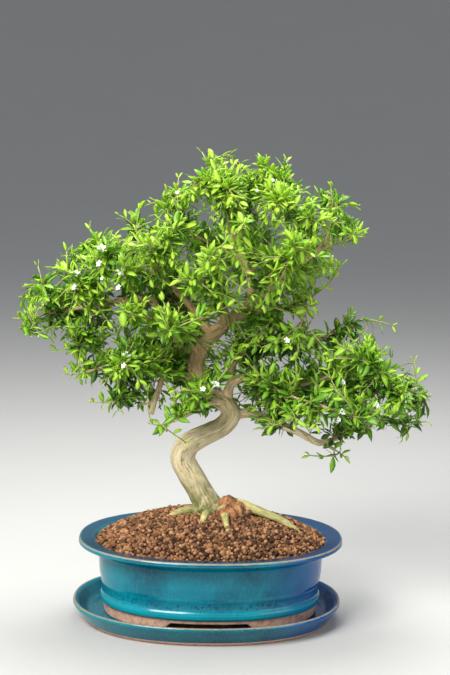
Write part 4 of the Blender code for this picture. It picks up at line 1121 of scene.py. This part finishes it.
class WoodSettings(bpy.types.PropertyGroup):
    skin: length_property("Skin size", "Side of the bark's quads", 1.15)
    relief: length_property("Relief", "Height of the bark's ridges", 2.1)
    pale: colour_property("Pale bark", "Lower trunk", (0.76, 0.64, 0.38))
    fibre: colour_property("Fibres", "Dark fibres of the bark", (0.14, 0.09, 0.035))
    upper: colour_property("Upper bark", "Upper trunk and limbs", (0.66, 0.44, 0.21))
    moss: colour_property("Moss", "Green growth near the soil", (0.1, 0.11, 0.012))
    stump: colour_property("Stump", "Old cut wood at the trunk's foot", (0.38, 0.16, 0.06))
    root: colour_property("Roots", "Yellow-green bark of the bare roots", (0.66, 0.6, 0.24))


class CrownSettings(bpy.types.PropertyGroup):
    shoots: IntProperty(
        name="Shoots", description="Small shoots all over the crown", default=1650, subtype="UNSIGNED"
    )
    nodes: IntProperty(
        name="Leaf pairs", description="Pairs of leaves on each shoot", default=4, subtype="UNSIGNED"
    )
    length: length_property("Leaf length", "Mean length of a full leaf", 13.0)
    aspect: FloatProperty(name="Leaf width", description="Width over length", default=0.4, subtype="FACTOR")
    # Besides real leaf age, the young lime is painted light on the crown's top, and the old dark green is
    # painted shade inside the crown and below.
    young: colour_property("Young leaves", "Shoot tips and the crown's top", (0.52, 0.78, 0.05))
    mature: colour_property("Leaves", "Most leaves", (0.2, 0.52, 0.022))
    old: colour_property("Old leaves", "Inside and below", (0.015, 0.11, 0.015))
    petal: colour_property("Petals", "Flowers", (0.86, 0.86, 0.83))


class StageSettings(bpy.types.PropertyGroup):
    floor: colour_property("Floor", "Plain pale floor and backdrop", (0.47, 0.465, 0.455))
    key: FloatProperty(
        name="Key light", description="Power of the main soft light", default=52.0, unit="POWER"
    )
    fill: FloatProperty(
        name="Fill light", description="Power of the soft light from the right", default=9.0, unit="POWER"
    )
    top: FloatProperty(name="Top light", description="Power of the soft light over the crown", default=24.0,
                       unit="POWER")


class BonsaiSettings(bpy.types.PropertyGroup):
    pot: PointerProperty(type=PotSettings)
    soil: PointerProperty(type=SoilSettings)
    wood: PointerProperty(type=WoodSettings)
    crown: PointerProperty(type=CrownSettings)
    stage: PointerProperty(type=StageSettings)


def settings():
    """The scene settings of this add-on."""
    return bpy.context.scene.bonsai


def wobbled(points, size):
    """Moves each point in or out by slow noise, except near the foot and the inside."""
    amount = (noise(points, 34.0, 3) - 0.5) * size
    out = unit(points * (1, 1, 0))
    return points + out * (amount * (points[..., 2] > 40) * (points[..., 2] < 74))[..., None]


class BONSAI_OT_saucer(bpy.types.Operator):
    """Builds the oval drip saucer with its dark glossy inside"""
    bl_idname = "bonsai.saucer"
    bl_label = "Saucer"

    def execute(self, context):
        look = settings().pot
        piece = oval_vessel("saucer_glazed", rounded(SAUCER_ROWS, 1.0), look.around, SAUCER_X)
        finish = glaze_material("Saucer glaze", look.dish, look.deep, look.speck, look.edge, look.side, 0.0)
        dress(piece, "saucer_glaze", finish, "saucer")
        return {"FINISHED"}


class BONSAI_OT_pot(bpy.types.Operator):
    """Builds the oval pot with its runny glaze, bare clay foot, arches and drain holes"""
    bl_idname = "bonsai.pot"
    bl_label = "Pot"

    def execute(self, context):
        look = settings().pot

        def reshape(points, marks):
            return wobbled(open_arches(points, marks), look.wobble / MM)

        piece = oval_vessel("pot_glazed", rounded(POT_ROWS, 1.0), look.around, 0.0, reshape)
        drilled(piece, [cylinder(side * DRAIN_X, DRAIN_RADIUS, DRILL_LOW, DRILL_HIGH) for side in (-1, 1)])
        finish = glaze_material("Pot glaze", look.base, look.deep, look.speck, look.edge, look.side, 1.0)
        dress(piece, "pot_glaze", finish, "pot")
        plastic = plain_material(
            "Black mesh", (0.01, 0.01, 0.01), (0.02, 0.02, 0.02), (0.04, 0.04, 0.04), 300, 0.5, 0.1
        )
        for side in ("left", "right"):
            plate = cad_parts[f"drain_mesh_{side}"]
            plate.data.materials.clear()
            plate.data.materials.append(plastic)
        return {"FINISHED"}


def grain_height(x, y):
    """Height that the grains lie at: that of the mound, filled up towards the rim's inner edge."""
    out = soil_reach(x, y)
    return soil_height(x, y) + 3.4 * np.clip(out, 0, 1.02) ** 6 - 0.9


def soil_bed(around):
    """The soil's sides, then rings scaled down to the middle at the mound's height with small bumps."""
    scales = np.linspace(0.985, 0.03, 60)
    wall = SOIL_ROWS[-1][0]
    rows = np.array(
        [(half, z, 0, 0, 0, 1) for half, z in SOIL_ROWS] + [(wall, 90, 1, 0, 0, s) for s in scales]
    )

    def mound(points, marks):
        height = soil_height(points[..., 0], points[..., 1]) - 1.2 + (noise(points, 4.0, 5) - 0.5) * 1.6
        points[..., 2] = np.where(marks[..., 0] > 0.5, height, points[..., 2])
        return points

    piece = oval_vessel("soil_bed", rows, around, 0.0, mound)
    middle = piece.data.vertices[len(piece.data.vertices) - 1]
    middle.co.z = (SOIL_TOP_Z - 1.2) * MM
    return piece


def grain_spots(draw, spacing):
    """Jittered triangular lattice over the mound, leaving out places inside the trunk."""
    across, deep = np.meshgrid(np.arange(-38, 39), np.arange(-32, 33))
    x = (across + 0.5 * (deep % 2)) * spacing
    y = deep * spacing * 0.866
    spots = np.column_stack([x.ravel(), y.ravel()]) + draw.uniform(-0.3, 0.3, (x.size, 2)) * spacing
    wall = SOIL_ROWS[-1][0] + 4
    inside = (
        np.abs(spots[:, 0] / wall) ** OVAL_POWER + np.abs(spots[:, 1] / (wall - OVAL_CUT)) ** OVAL_POWER
    ) < 1
    return spots[inside & (np.hypot(spots[:, 0] - 1, spots[:, 1]) > 11)]


class BONSAI_OT_soil(bpy.types.Operator):
    """Fills the pot with a mounded bed of soil and scatters fired clay grains over it"""
    bl_idname = "bonsai.soil"
    bl_label = "Soil"

    def execute(self, context):
        look = settings().soil
        finish = soil_material("Baked clay", (look.dark, look.middle, look.bright))
        dress(soil_bed(160), "soil", finish, "soil")
        draw = np.random.default_rng(SEED)
        spots = grain_spots(draw, look.spacing / MM)
        sizes = look.grain / MM * draw.uniform(0.62, 1.5, len(spots)) * draw.uniform(0.9, 1.1, len(spots))
        heights = grain_height(spots[:, 0], spots[:, 1]) + draw.uniform(-0.8, 0.8, len(spots))
        points, triangles, each = lumps_at(draw, np.column_stack([spots, heights]), sizes, 0.15)
        tone = np.repeat(draw.uniform(0, 1, len(spots)), each)
        grains = new_piece("soil_grains", points, [], triangles, smooth=False, attributes={"tone": tone})
        dress(grains, "soil", finish)
        return {"FINISHED"}


def bark_relief(straight, thick):
    """Long ridges plus slow swellings, both in proportion to the wood's radius up to a limit."""
    ridges = noise(straight * (1, 1, 0.16), 3.4, 1) - 0.5
    fine = noise(straight * (1, 1, 0.3), 1.7, 2) - 0.5
    swell = noise(straight * (1, 1, 0.6), 13.0, 4) - 0.5
    return (ridges * 0.55 + fine * 0.3 + swell * 0.9) * np.minimum(thick / 9, 1)


def twig_tubes():
    """The woody part of every spray's first curve, with the same thickness as its solid."""
    starts, middles, lasts, radii = [], [], [], []
    for limb, place, tips in SPRAYS:
        first, middle, last, thick = twig_curve(limb, place, tips[0])
        whole = np.linalg.norm(last - first) * 1.04
        share = 1 - min(GREEN_LENGTH, whole - thick - TIP_ROOM) / whole
        starts.append(first)
        middles.append(first + (middle - first) * share)
        lasts.append((1 - share) ** 2 * first + 2 * share * (1 - share) * middle + share**2 * last)
        radii.append((max(1.5, min(0.6 * thick, 2.4)), 1.2))
    curves = tuple(np.array(group) for group in (starts, middles, lasts))
    points, quads, caps, _ = stem_tubes(curves, np.array(radii), 12, 8)
    return points, quads, caps


class BONSAI_OT_wood(bpy.types.Operator):
    """Joins trunk, roots and stump in one skin of ridged bark, with limbs and twigs"""
    bl_idname = "bonsai.wood"
    bl_label = "Trunk and limbs"

    def execute(self, context):
        look = settings().wood
        paths = list(wood_paths())
        tubes = [round_tube(*path) for path in paths]
        points, quads, normals = remeshed("wood", *joined([*tubes, stump_points()]), look.skin)
        straight, thick = straighten(points, path_samples([path for path, *_ in paths]))
        points = points + normals * (bark_relief(straight, thick) * look.relief / MM)[:, None]
        lump_gap = np.min([np.linalg.norm(points - (x, y, soil_height(x, y) + rise), axis=1) / radius
                           for x, y, rise, radius in LUMPS + BURRS[:-1]], axis=0)
        stump = np.clip((1.3 - lump_gap) * 4, 0, 1)
        twigs = twig_tubes()
        points, quads, caps = joined([(points, quads, []), twigs])
        straight = np.vstack([straight, twigs[0]]) * MM
        stump = np.concatenate([stump, np.zeros(len(twigs[0]))])
        root = np.clip((np.hypot(points[:, 0], points[:, 1]) - 17) / 8, 0, 1) * (points[:, 2] < 125)
        finish = bark_material(
            "Bark", (look.pale, look.fibre, look.upper, look.moss, look.stump, look.root)
        )
        wood = new_piece("trunk_wood", points, quads, caps, attributes={
            "straight": straight, "stump": stump, "root": root})
        dress(wood, "bark", finish, "trunk")
        return {"FINISHED"}


class BONSAI_OT_moss(bpy.types.Operator):
    """Sets small cushions of moss round the trunk's foot"""
    bl_idname = "bonsai.moss"
    bl_label = "Moss"

    def execute(self, context):
        draw = np.random.default_rng(SEED + 5)
        angle = draw.uniform(0, 2 * math.pi, MOSS_CLUMPS)
        reach = 13 + np.abs(draw.normal(0, 6, MOSS_CLUMPS))
        x, y = 2 + reach * np.cos(angle), -2 + reach * np.sin(angle)
        clump = noise(np.column_stack([x, y, np.zeros(MOSS_CLUMPS)]), 9.0, 8) > 0.5
        x, y = x[clump], y[clump]
        spots = np.column_stack([x, y, soil_height(x, y) - 0.2])
        points, triangles, _ = lumps_at(draw, spots, draw.uniform(1.2, 3.0, len(spots)), 0.3)
        finish = plain_material(
            "Moss", (0.03, 0.06, 0.008), (0.1, 0.17, 0.02), (0.2, 0.28, 0.05), 900, 0.9, 1.0
        )
        dress(new_piece("moss", points, [], triangles), "leaf", finish)
        return {"FINISHED"}


def own_curves(number):
    """First, middle and last points of a spray's shoots, as its solid has them."""
    limb, place, tips = SPRAYS[number]
    start, middle, tip, _ = twig_curve(limb, place, tips[0])
    curves = [(start, middle, tip)]
    t = 0.62
    fork = (1 - t) ** 2 * start + 2 * t * (1 - t) * middle + t**2 * tip
    forward = unit(tip - middle)
    for goal in tips[1:]:
        goal = np.array(goal, float)
        curves.append(
            (fork, fork + (unit(goal - fork) + forward) * np.linalg.norm(goal - fork) * 0.26, goal)
        )
    return np.array(curves)


def anchors():
    """Places that small shoots may start from, their directions and the spray that each belongs to."""
    places, ways, owners, starts = [], [], [], []
    for number in range(len(SPRAYS)):
        curves = own_curves(number)
        t = np.broadcast_to(np.linspace(0.12, 0.93, 10), (len(curves), 10))
        where, along = quadratic(curves[:, 0], curves[:, 1], curves[:, 2], t)
        places.append(where.reshape(-1, 3))
        ways.append(along.reshape(-1, 3))
        owners.append(np.full(where.size // 3, number))
        starts.append(curves[0, 0])
    for name, points in LIMBS.items():
        path = route(points, 26)[8:]
        if not name.startswith("dead"):
            gap = np.linalg.norm(path[:, None, :3] - np.array(starts)[None], axis=2)
            places.append(path[:, :3])
            ways.append(path_frames(path)[0])
            owners.append(gap.argmin(axis=1))
    return np.vstack(places), np.vstack(ways), np.concatenate(owners)


def small_shoots(draw, look):
    """Three-point curves from the wood to goals all over the crown, with the spray that each belongs to
    and how far inside the crown each ends. A shoot that arches out of the crown's outline is left out."""
    places, ways, owners = anchors()
    goals, inner = crown_goals(draw, look.shoots)
    clear = ~hides_wood(goals)
    goals, inner = goals[clear], inner[clear]
    gap = np.linalg.norm(goals[:, None] - places[None], axis=2)
    cost = gap + 3 * np.maximum(0, 17 - gap) + draw.uniform(0, 9, gap.shape)
    best = cost.argmin(axis=1)
    near = gap[np.arange(len(goals)), best] < SHOOT_REACH
    goals, best, inner = goals[near], best[near], inner[near]
    origin, way = places[best], ways[best]
    reach = np.linalg.norm(goals - origin, axis=1, keepdims=True)
    bend = origin + (way * 0.5 + unit(goals - origin) * 0.5) * reach * 0.5 - np.array((0, 0, 0.05)) * reach
    halfway = origin * 0.25 + bend * 0.5 + goals * 0.25
    further = halfway * 0.5 + goals * 0.5 + bend * 0.12 - goals * 0.12
    inside = in_outline(seen(halfway)) & in_outline(seen(further))
    return np.stack([origin, bend, goals], 1)[inside], owners[best][inside], inner[inside]


def shoot_leaves(draw, curves, own, look):
    """Leaf pairs along every shoot's outer stretch, each pair turned a right angle from the one before
    it."""
    count, nodes = len(curves), look.nodes
    spread = np.linspace(0.0, 1.0, nodes)
    reach = np.linalg.norm(curves[:, 2] - curves[:, 0], axis=1)
    stretch = np.where(np.arange(count) < own, 44.0, draw.uniform(22, 36, count))
    low = 1 - np.minimum(stretch / reach, 0.9)[:, None]
    t = low + (1 - low) * spread + draw.uniform(-0.04, 0.04, (count, nodes))
    t = np.clip(t, 0.05, 1.0)
    places, stem = quadratic(curves[:, 0], curves[:, 1], curves[:, 2], t)
    side = unit(np.cross(stem, (0.31, 0.87, 0.2)))
    over = np.cross(stem, side)
    turn = np.arange(nodes) * math.pi / 2 + draw.uniform(0, math.pi, (count, 1)) + draw.normal(
        0, 0.18, (count, nodes)
    )
    angle = turn[..., None] + np.array([0, math.pi]) + draw.normal(0, 0.16, (count, nodes, 2))
    out = np.cos(angle)[..., None] * side[:, :, None] + np.sin(angle)[..., None] * over[:, :, None]
    tilt = 1.15 - 0.65 * spread[None, :, None] ** 2 + draw.normal(0, 0.2, angle.shape)
    along = np.cos(tilt)[..., None] * stem[:, :, None] + np.sin(tilt)[..., None] * out
    base = places[:, :, None] + out * 0.5
    size = look.length / MM * (
        1.1 - 0.45 * spread[None, :, None] ** 2.2
    ) * draw.uniform(0.66, 1.22, angle.shape)
    newness = np.broadcast_to(spread[None, :, None], angle.shape)
    return tuple(np.reshape(group, (-1, 3)) for group in (base, along)) + (size.ravel(), newness.ravel())


def leaf_mesh_parts(draw, curves, own, inner, look):
    """Arrays of all the leaves of one spray, with their marks, dropping those that leave the crown's
    outline or the solids' box, or that hide the wood that stays in sight."""
    base, along, size, newness = shoot_leaves(draw, curves, own, look)
    along = unit(along + (0, 0, 0.2))
    tip = base + along * size[:, None]
    middle = base + along * size[:, None] * 0.5
    low, high = (np.array(corner) / MM for corner in CAD_BOX)
    # How far inside the crown each leaf's shoot ends, used as painted shade.
    inside_shade = np.repeat(inner, look.nodes * 2)
    keep = in_outline(seen(base)) | (newness > 0.6)
    keep &= ~hides_wood(middle) & ~hides_wood(tip)
    keep[:own * look.nodes * 2] = True
    keep &= ((tip > low - 1) & (tip < high + (1, 1, 3))).all(1)
    base, along, size, newness, tip, inside_shade = (
        group[keep] for group in (base, along, size, newness, tip, inside_shade)
    )
    outward = unit((base - CROWN_MIDDLE) * (0.6, 1, 0.5))
    above = outward * 0.45 + np.array((0, 0, 0.9)) + draw.normal(0, 0.42, base.shape)
    above = unit(above - along * (above * along).sum(1, keepdims=True))
    across = np.cross(above, along)
    width = size * look.aspect * draw.uniform(0.82, 1.18, len(size))
    fold = draw.uniform(0.12, 0.6, len(size))
    droop = draw.normal(0.12, 0.12, len(size))
    points, quads, triangles, across_mark, along_mark, per = blades(
        base, along, across, size, width, fold, droop
    )
    # Painted light and shade: on top of the real age along each shoot, leaves far inside the crown, deep in
    # its masses and low down are painted darker, and those high up lighter.
    height = (tip[:, 2] - 300) / 150
    age = 0.3 - 0.5 * newness + inside_shade * 1.0 + crown_depth(tip) * 0.2 - 0.25 * height + draw.normal(
        0, 0.14, len(size)
    )
    return (points, quads, triangles), across_mark, along_mark, np.repeat(np.clip(age, 0, 1), per)


class BONSAI_OT_leaves(bpy.types.Operator):
    """Grows every spray: slim stems with crossed pairs of folded leaves"""
    bl_idname = "bonsai.leaves"
    bl_label = "Leaf sprays"

    def execute(self, context):
        look = settings().crown
        finish = leaf_material("Leaf", look.young, look.mature, look.old)
        draw = np.random.default_rng(SEED)
        more, owners, inner = small_shoots(draw, look)
        for number in range(len(SPRAYS)):
            curves = own_curves(number)
            own = len(curves)
            mine = owners == number
            curves = np.vstack([curves, more[mine]])
            # How far inside the crown each shoot ends, for the leaves' painted shade.
            inside_shade = np.concatenate([np.zeros(own), inner[mine]])
            leaves, across, along, age = leaf_mesh_parts(draw, curves, own, inside_shade, look)
            radii = np.where(np.arange(len(curves))[:, None] < own, (0.95, 0.65), (0.75, 0.5))
            stems = stem_tubes(tuple(curves.transpose(1, 0, 2)), radii, 6, 3)
            points, quads, triangles = joined([leaves, stems[:3]])
            plain = np.zeros(len(stems[0]))
            marks = {
                "across": np.append(across, plain), "along": np.append(along, plain),
                "age": np.append(age, plain), "stem": np.append(np.zeros(len(leaves[0])), plain + 1),
                "green": np.append(np.zeros(len(leaves[0])), stems[3])
            }
            piece = new_piece(f"leaf_spray_{number + 1:02d}", points, quads, triangles, attributes=marks)
            dress(piece, "leaf", finish, f"spray_{number + 1:02d}")
        return {"FINISHED"}


# Small flowers seen at the crown's front, above those of the solids: x, y, z and width.
EXTRA_FLOWERS = [
    (-126, -52, 331, 8), (-103, -52, 353, 9), (-102, -50, 340, 5), (-85, -60, 332, 8),
    (-164, -30, 282, 4), (-80, -66, 260, 7), (-8, -74, 240, 7), (-33, -60, 421, 5), (52, -70, 434, 5),
    (38, -74, 425, 4), (66, -84, 288, 8), (150, -66, 226, 9), (118, -72, 220, 9), (116, -66, 212, 7),
    (119, -70, 248, 7), (148, -60, 204, 9), (160, -58, 203, 8)
]


PETAL_SIDES = 40


def flower(base, along, width):
    """Five pointed lobes on a slim tube: at share u of the way out, the radius grows and the rim is cut
    into lobes by |cos(5a/2)|, which leaves each lobe hollowed down its middle."""
    side = unit(np.cross(along, (0.31, 0.2, 0.9)))
    over = np.cross(along, side)
    angle = np.arange(PETAL_SIDES) * math.pi / (PETAL_SIDES / 2)
    lobe = np.abs(np.cos(2.5 * angle))
    rows = [
        (0.05, 0.0, 0, 0), (0.07, 0.3, 0, 0.1), (0.1, 0.52, 0, 0.3), (0.24, 0.7, 0.1, 0.5),
        (0.4, 0.78, 0.35, 0.8), (0.52, 0.8, 0.62, 1.0), (0.5, 0.77, 0.62, 1.0), (0.22, 0.67, 0.1, 0.5),
        (0.08, 0.5, 0, 0.2)
    ]
    rings, marks = [], []
    for radius, up, cut, mark in rows:
        reach = radius * (1 - cut * (1 - lobe**0.7)) * width
        height = up + 0.05 * cut * (1 - lobe)
        rings.append(base + along * (height * width)[:, None] + reach[:, None] * (
            np.cos(angle)[:, None] * side + np.sin(angle)[:, None] * over))
        marks.append(np.full(PETAL_SIDES, mark))
    points = np.vstack([*rings, base, base + along * 0.45 * width])
    marks = np.concatenate([*marks, [0, 0.2]])
    return (points, grid_quads(len(rows), PETAL_SIDES), end_fans(len(rows), PETAL_SIDES)), marks


def flower_piece(name, flowers, finish, *nodes):
    """One piece from several flowers."""
    parts, marks = zip(*flowers)
    points, quads, triangles = joined(parts)
    extra = {"along": np.concatenate(marks), "straight": points * MM}
    dress(new_piece(name, points, quads, triangles, attributes=extra), "petal", finish, *nodes)


class BONSAI_OT_flowers(bpy.types.Operator):
    """Opens small white flowers at the ends of the sprays"""
    bl_idname = "bonsai.flowers"
    bl_label = "Flowers"

    def execute(self, context):
        finish = petal_material("Petal", settings().crown.petal)
        for number, (spray, _, width) in enumerate(BLOOMS):
            name = f"bloom_{number + 1:02d}"
            low, high = (np.array(corner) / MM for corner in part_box(name))
            base = (low + high) / 2
            limb, place, tips = SPRAYS[spray - 1]
            along = unit(base - twig_curve(limb, place, tips[0])[1])
            made = flower(base - along * width * 0.45, along, width)
            flower_piece(f"flower_{number + 1:02d}", [made], finish, name)
        small = [flower(np.array((x, y, z), float), unit(np.array((x * 0.006, -0.6, 0.5))), width * 0.8)
                 for x, y, z, width in EXTRA_FLOWERS]
        flower_piece("small_flowers", small, finish)
        return {"FINISHED"}


# Soft lights: name, place, point aimed at, side of the square and colour. Backdrop: millimetres out and up.
LIGHTS = [
    ("Key", (-0.75, -1.1, 1.35), (0, 0, 0.25), 0.9, (1.0, 0.985, 0.95)),
    ("Fill", (1.4, -1.0, 0.6), (0, 0, 0.2), 1.2, (0.93, 0.97, 1.0)),
    ("Top", (0.15, 0.35, 1.5), (0, 0, 0.3), 0.8, (1.0, 1.0, 0.98)),
]
SKY, SKY_STRENGTH = (0.8, 0.85, 0.9, 1), 0.42
FLAT_OUT, CURVE_OUT, CURVE_UP, FLOOR_SIDES = 3200, 6000, 2400, 96


def area_light(name, place, aim, size, power, colour):
    """A square soft light at a place, turned to face a point."""
    data = bpy.data.lights.new(name, "AREA")
    data.shape = "SQUARE"
    data.size, data.energy, data.color = size, power, colour
    lamp = bpy.data.objects.new(name, data)
    bpy.context.scene.collection.objects.link(lamp)
    direction = Vector(aim) - Vector(place)
    lamp.location = place
    lamp.rotation_euler = direction.to_track_quat("-Z", "Y").to_euler()


def backdrop(colour):
    """A round pale floor that curves up into a wall on every side, a long way off."""
    turn = np.linspace(0, math.pi / 2, 40)
    curve = zip(FLAT_OUT + CURVE_OUT * np.sin(turn), CURVE_UP - CURVE_UP * np.cos(turn))
    line = [(1, 0), (400, 0), (1200, 0), (3100, 0), *curve]
    angle = circle(FLOOR_SIDES)
    points = np.array(
        [[(out * math.cos(a), out * math.sin(a), z) for a in angle] for out, z in line]
    ).reshape(-1, 3)
    piece = new_piece(
        "backdrop", points, grid_quads(len(line), FLOOR_SIDES),
        [(0, k, k + 1) for k in range(1, FLOOR_SIDES - 1)]
    )
    tint = np.array(colour[:])
    piece.data.materials.append(
        plain_material("Backdrop", tint * 0.985, tint, tint * 1.01, 3.0, 0.85, 0.02)
    )


class BONSAI_OT_stage(bpy.types.Operator):
    """Puts the object on a plain pale floor in soft studio light, with the photograph's camera"""
    bl_idname = "bonsai.stage"
    bl_label = "Stage"

    def execute(self, context):
        look = settings().stage
        scene = context.scene
        backdrop(look.floor)
        for (name, place, aim, size, colour), power in zip(LIGHTS, (look.key, look.fill, look.top)):
            area_light(name, place, aim, size, power, colour)
        world = bpy.data.worlds.new("Studio")
        world.use_nodes = True
        sky = world.node_tree.nodes["Background"].inputs
        sky["Color"].default_value = SKY
        sky["Strength"].default_value = SKY_STRENGTH
        scene.world = world
        data = bpy.data.cameras.new("Camera")
        data.lens, data.sensor_width, data.sensor_fit = EYE_LENS, 36, "AUTO"
        data.clip_end = 50
        camera = bpy.data.objects.new("Camera", data)
        scene.collection.objects.link(camera)
        turn = Matrix.Rotation(math.radians(90) - EYE_DOWN, 4, "X") @ Matrix.Rotation(EYE_ROLL, 4, "Z")
        camera.matrix_world = Matrix.Translation(np.array(EYE) * MM) @ turn
        scene.camera = camera
        scene.view_settings.view_transform = "Standard"
        return {"FINISHED"}


class BONSAI_PT_panel(bpy.types.Panel):
    """Lists the steps in building order"""
    bl_idname = "BONSAI_PT_panel"
    bl_label = "Serissa bonsai"
    bl_space_type = "VIEW_3D"
    bl_region_type = "UI"
    bl_category = "Bonsai"

    def draw(self, context):
        for step in STEPS:
            self.layout.operator(step.bl_idname)


STEPS = (BONSAI_OT_saucer, BONSAI_OT_pot, BONSAI_OT_soil, BONSAI_OT_wood, BONSAI_OT_moss, BONSAI_OT_leaves,
         BONSAI_OT_flowers, BONSAI_OT_stage)
CLASSES = (PotSettings, SoilSettings, WoodSettings, CrownSettings, StageSettings, BonsaiSettings, *STEPS,
           BONSAI_PT_panel)


def register():
    for made in CLASSES:
        bpy.utils.register_class(made)
    bpy.types.Scene.bonsai = PointerProperty(type=BonsaiSettings)


def unregister():
    del bpy.types.Scene.bonsai
    for made in reversed(CLASSES):
        bpy.utils.unregister_class(made)


def main():
    register()
    bpy.ops.bonsai.saucer()
    bpy.ops.bonsai.pot()
    bpy.ops.bonsai.soil()
    bpy.ops.bonsai.wood()
    bpy.ops.bonsai.moss()
    bpy.ops.bonsai.leaves()
    bpy.ops.bonsai.flowers()
    bpy.ops.bonsai.stage()


if __name__ == "__main__":
    main()
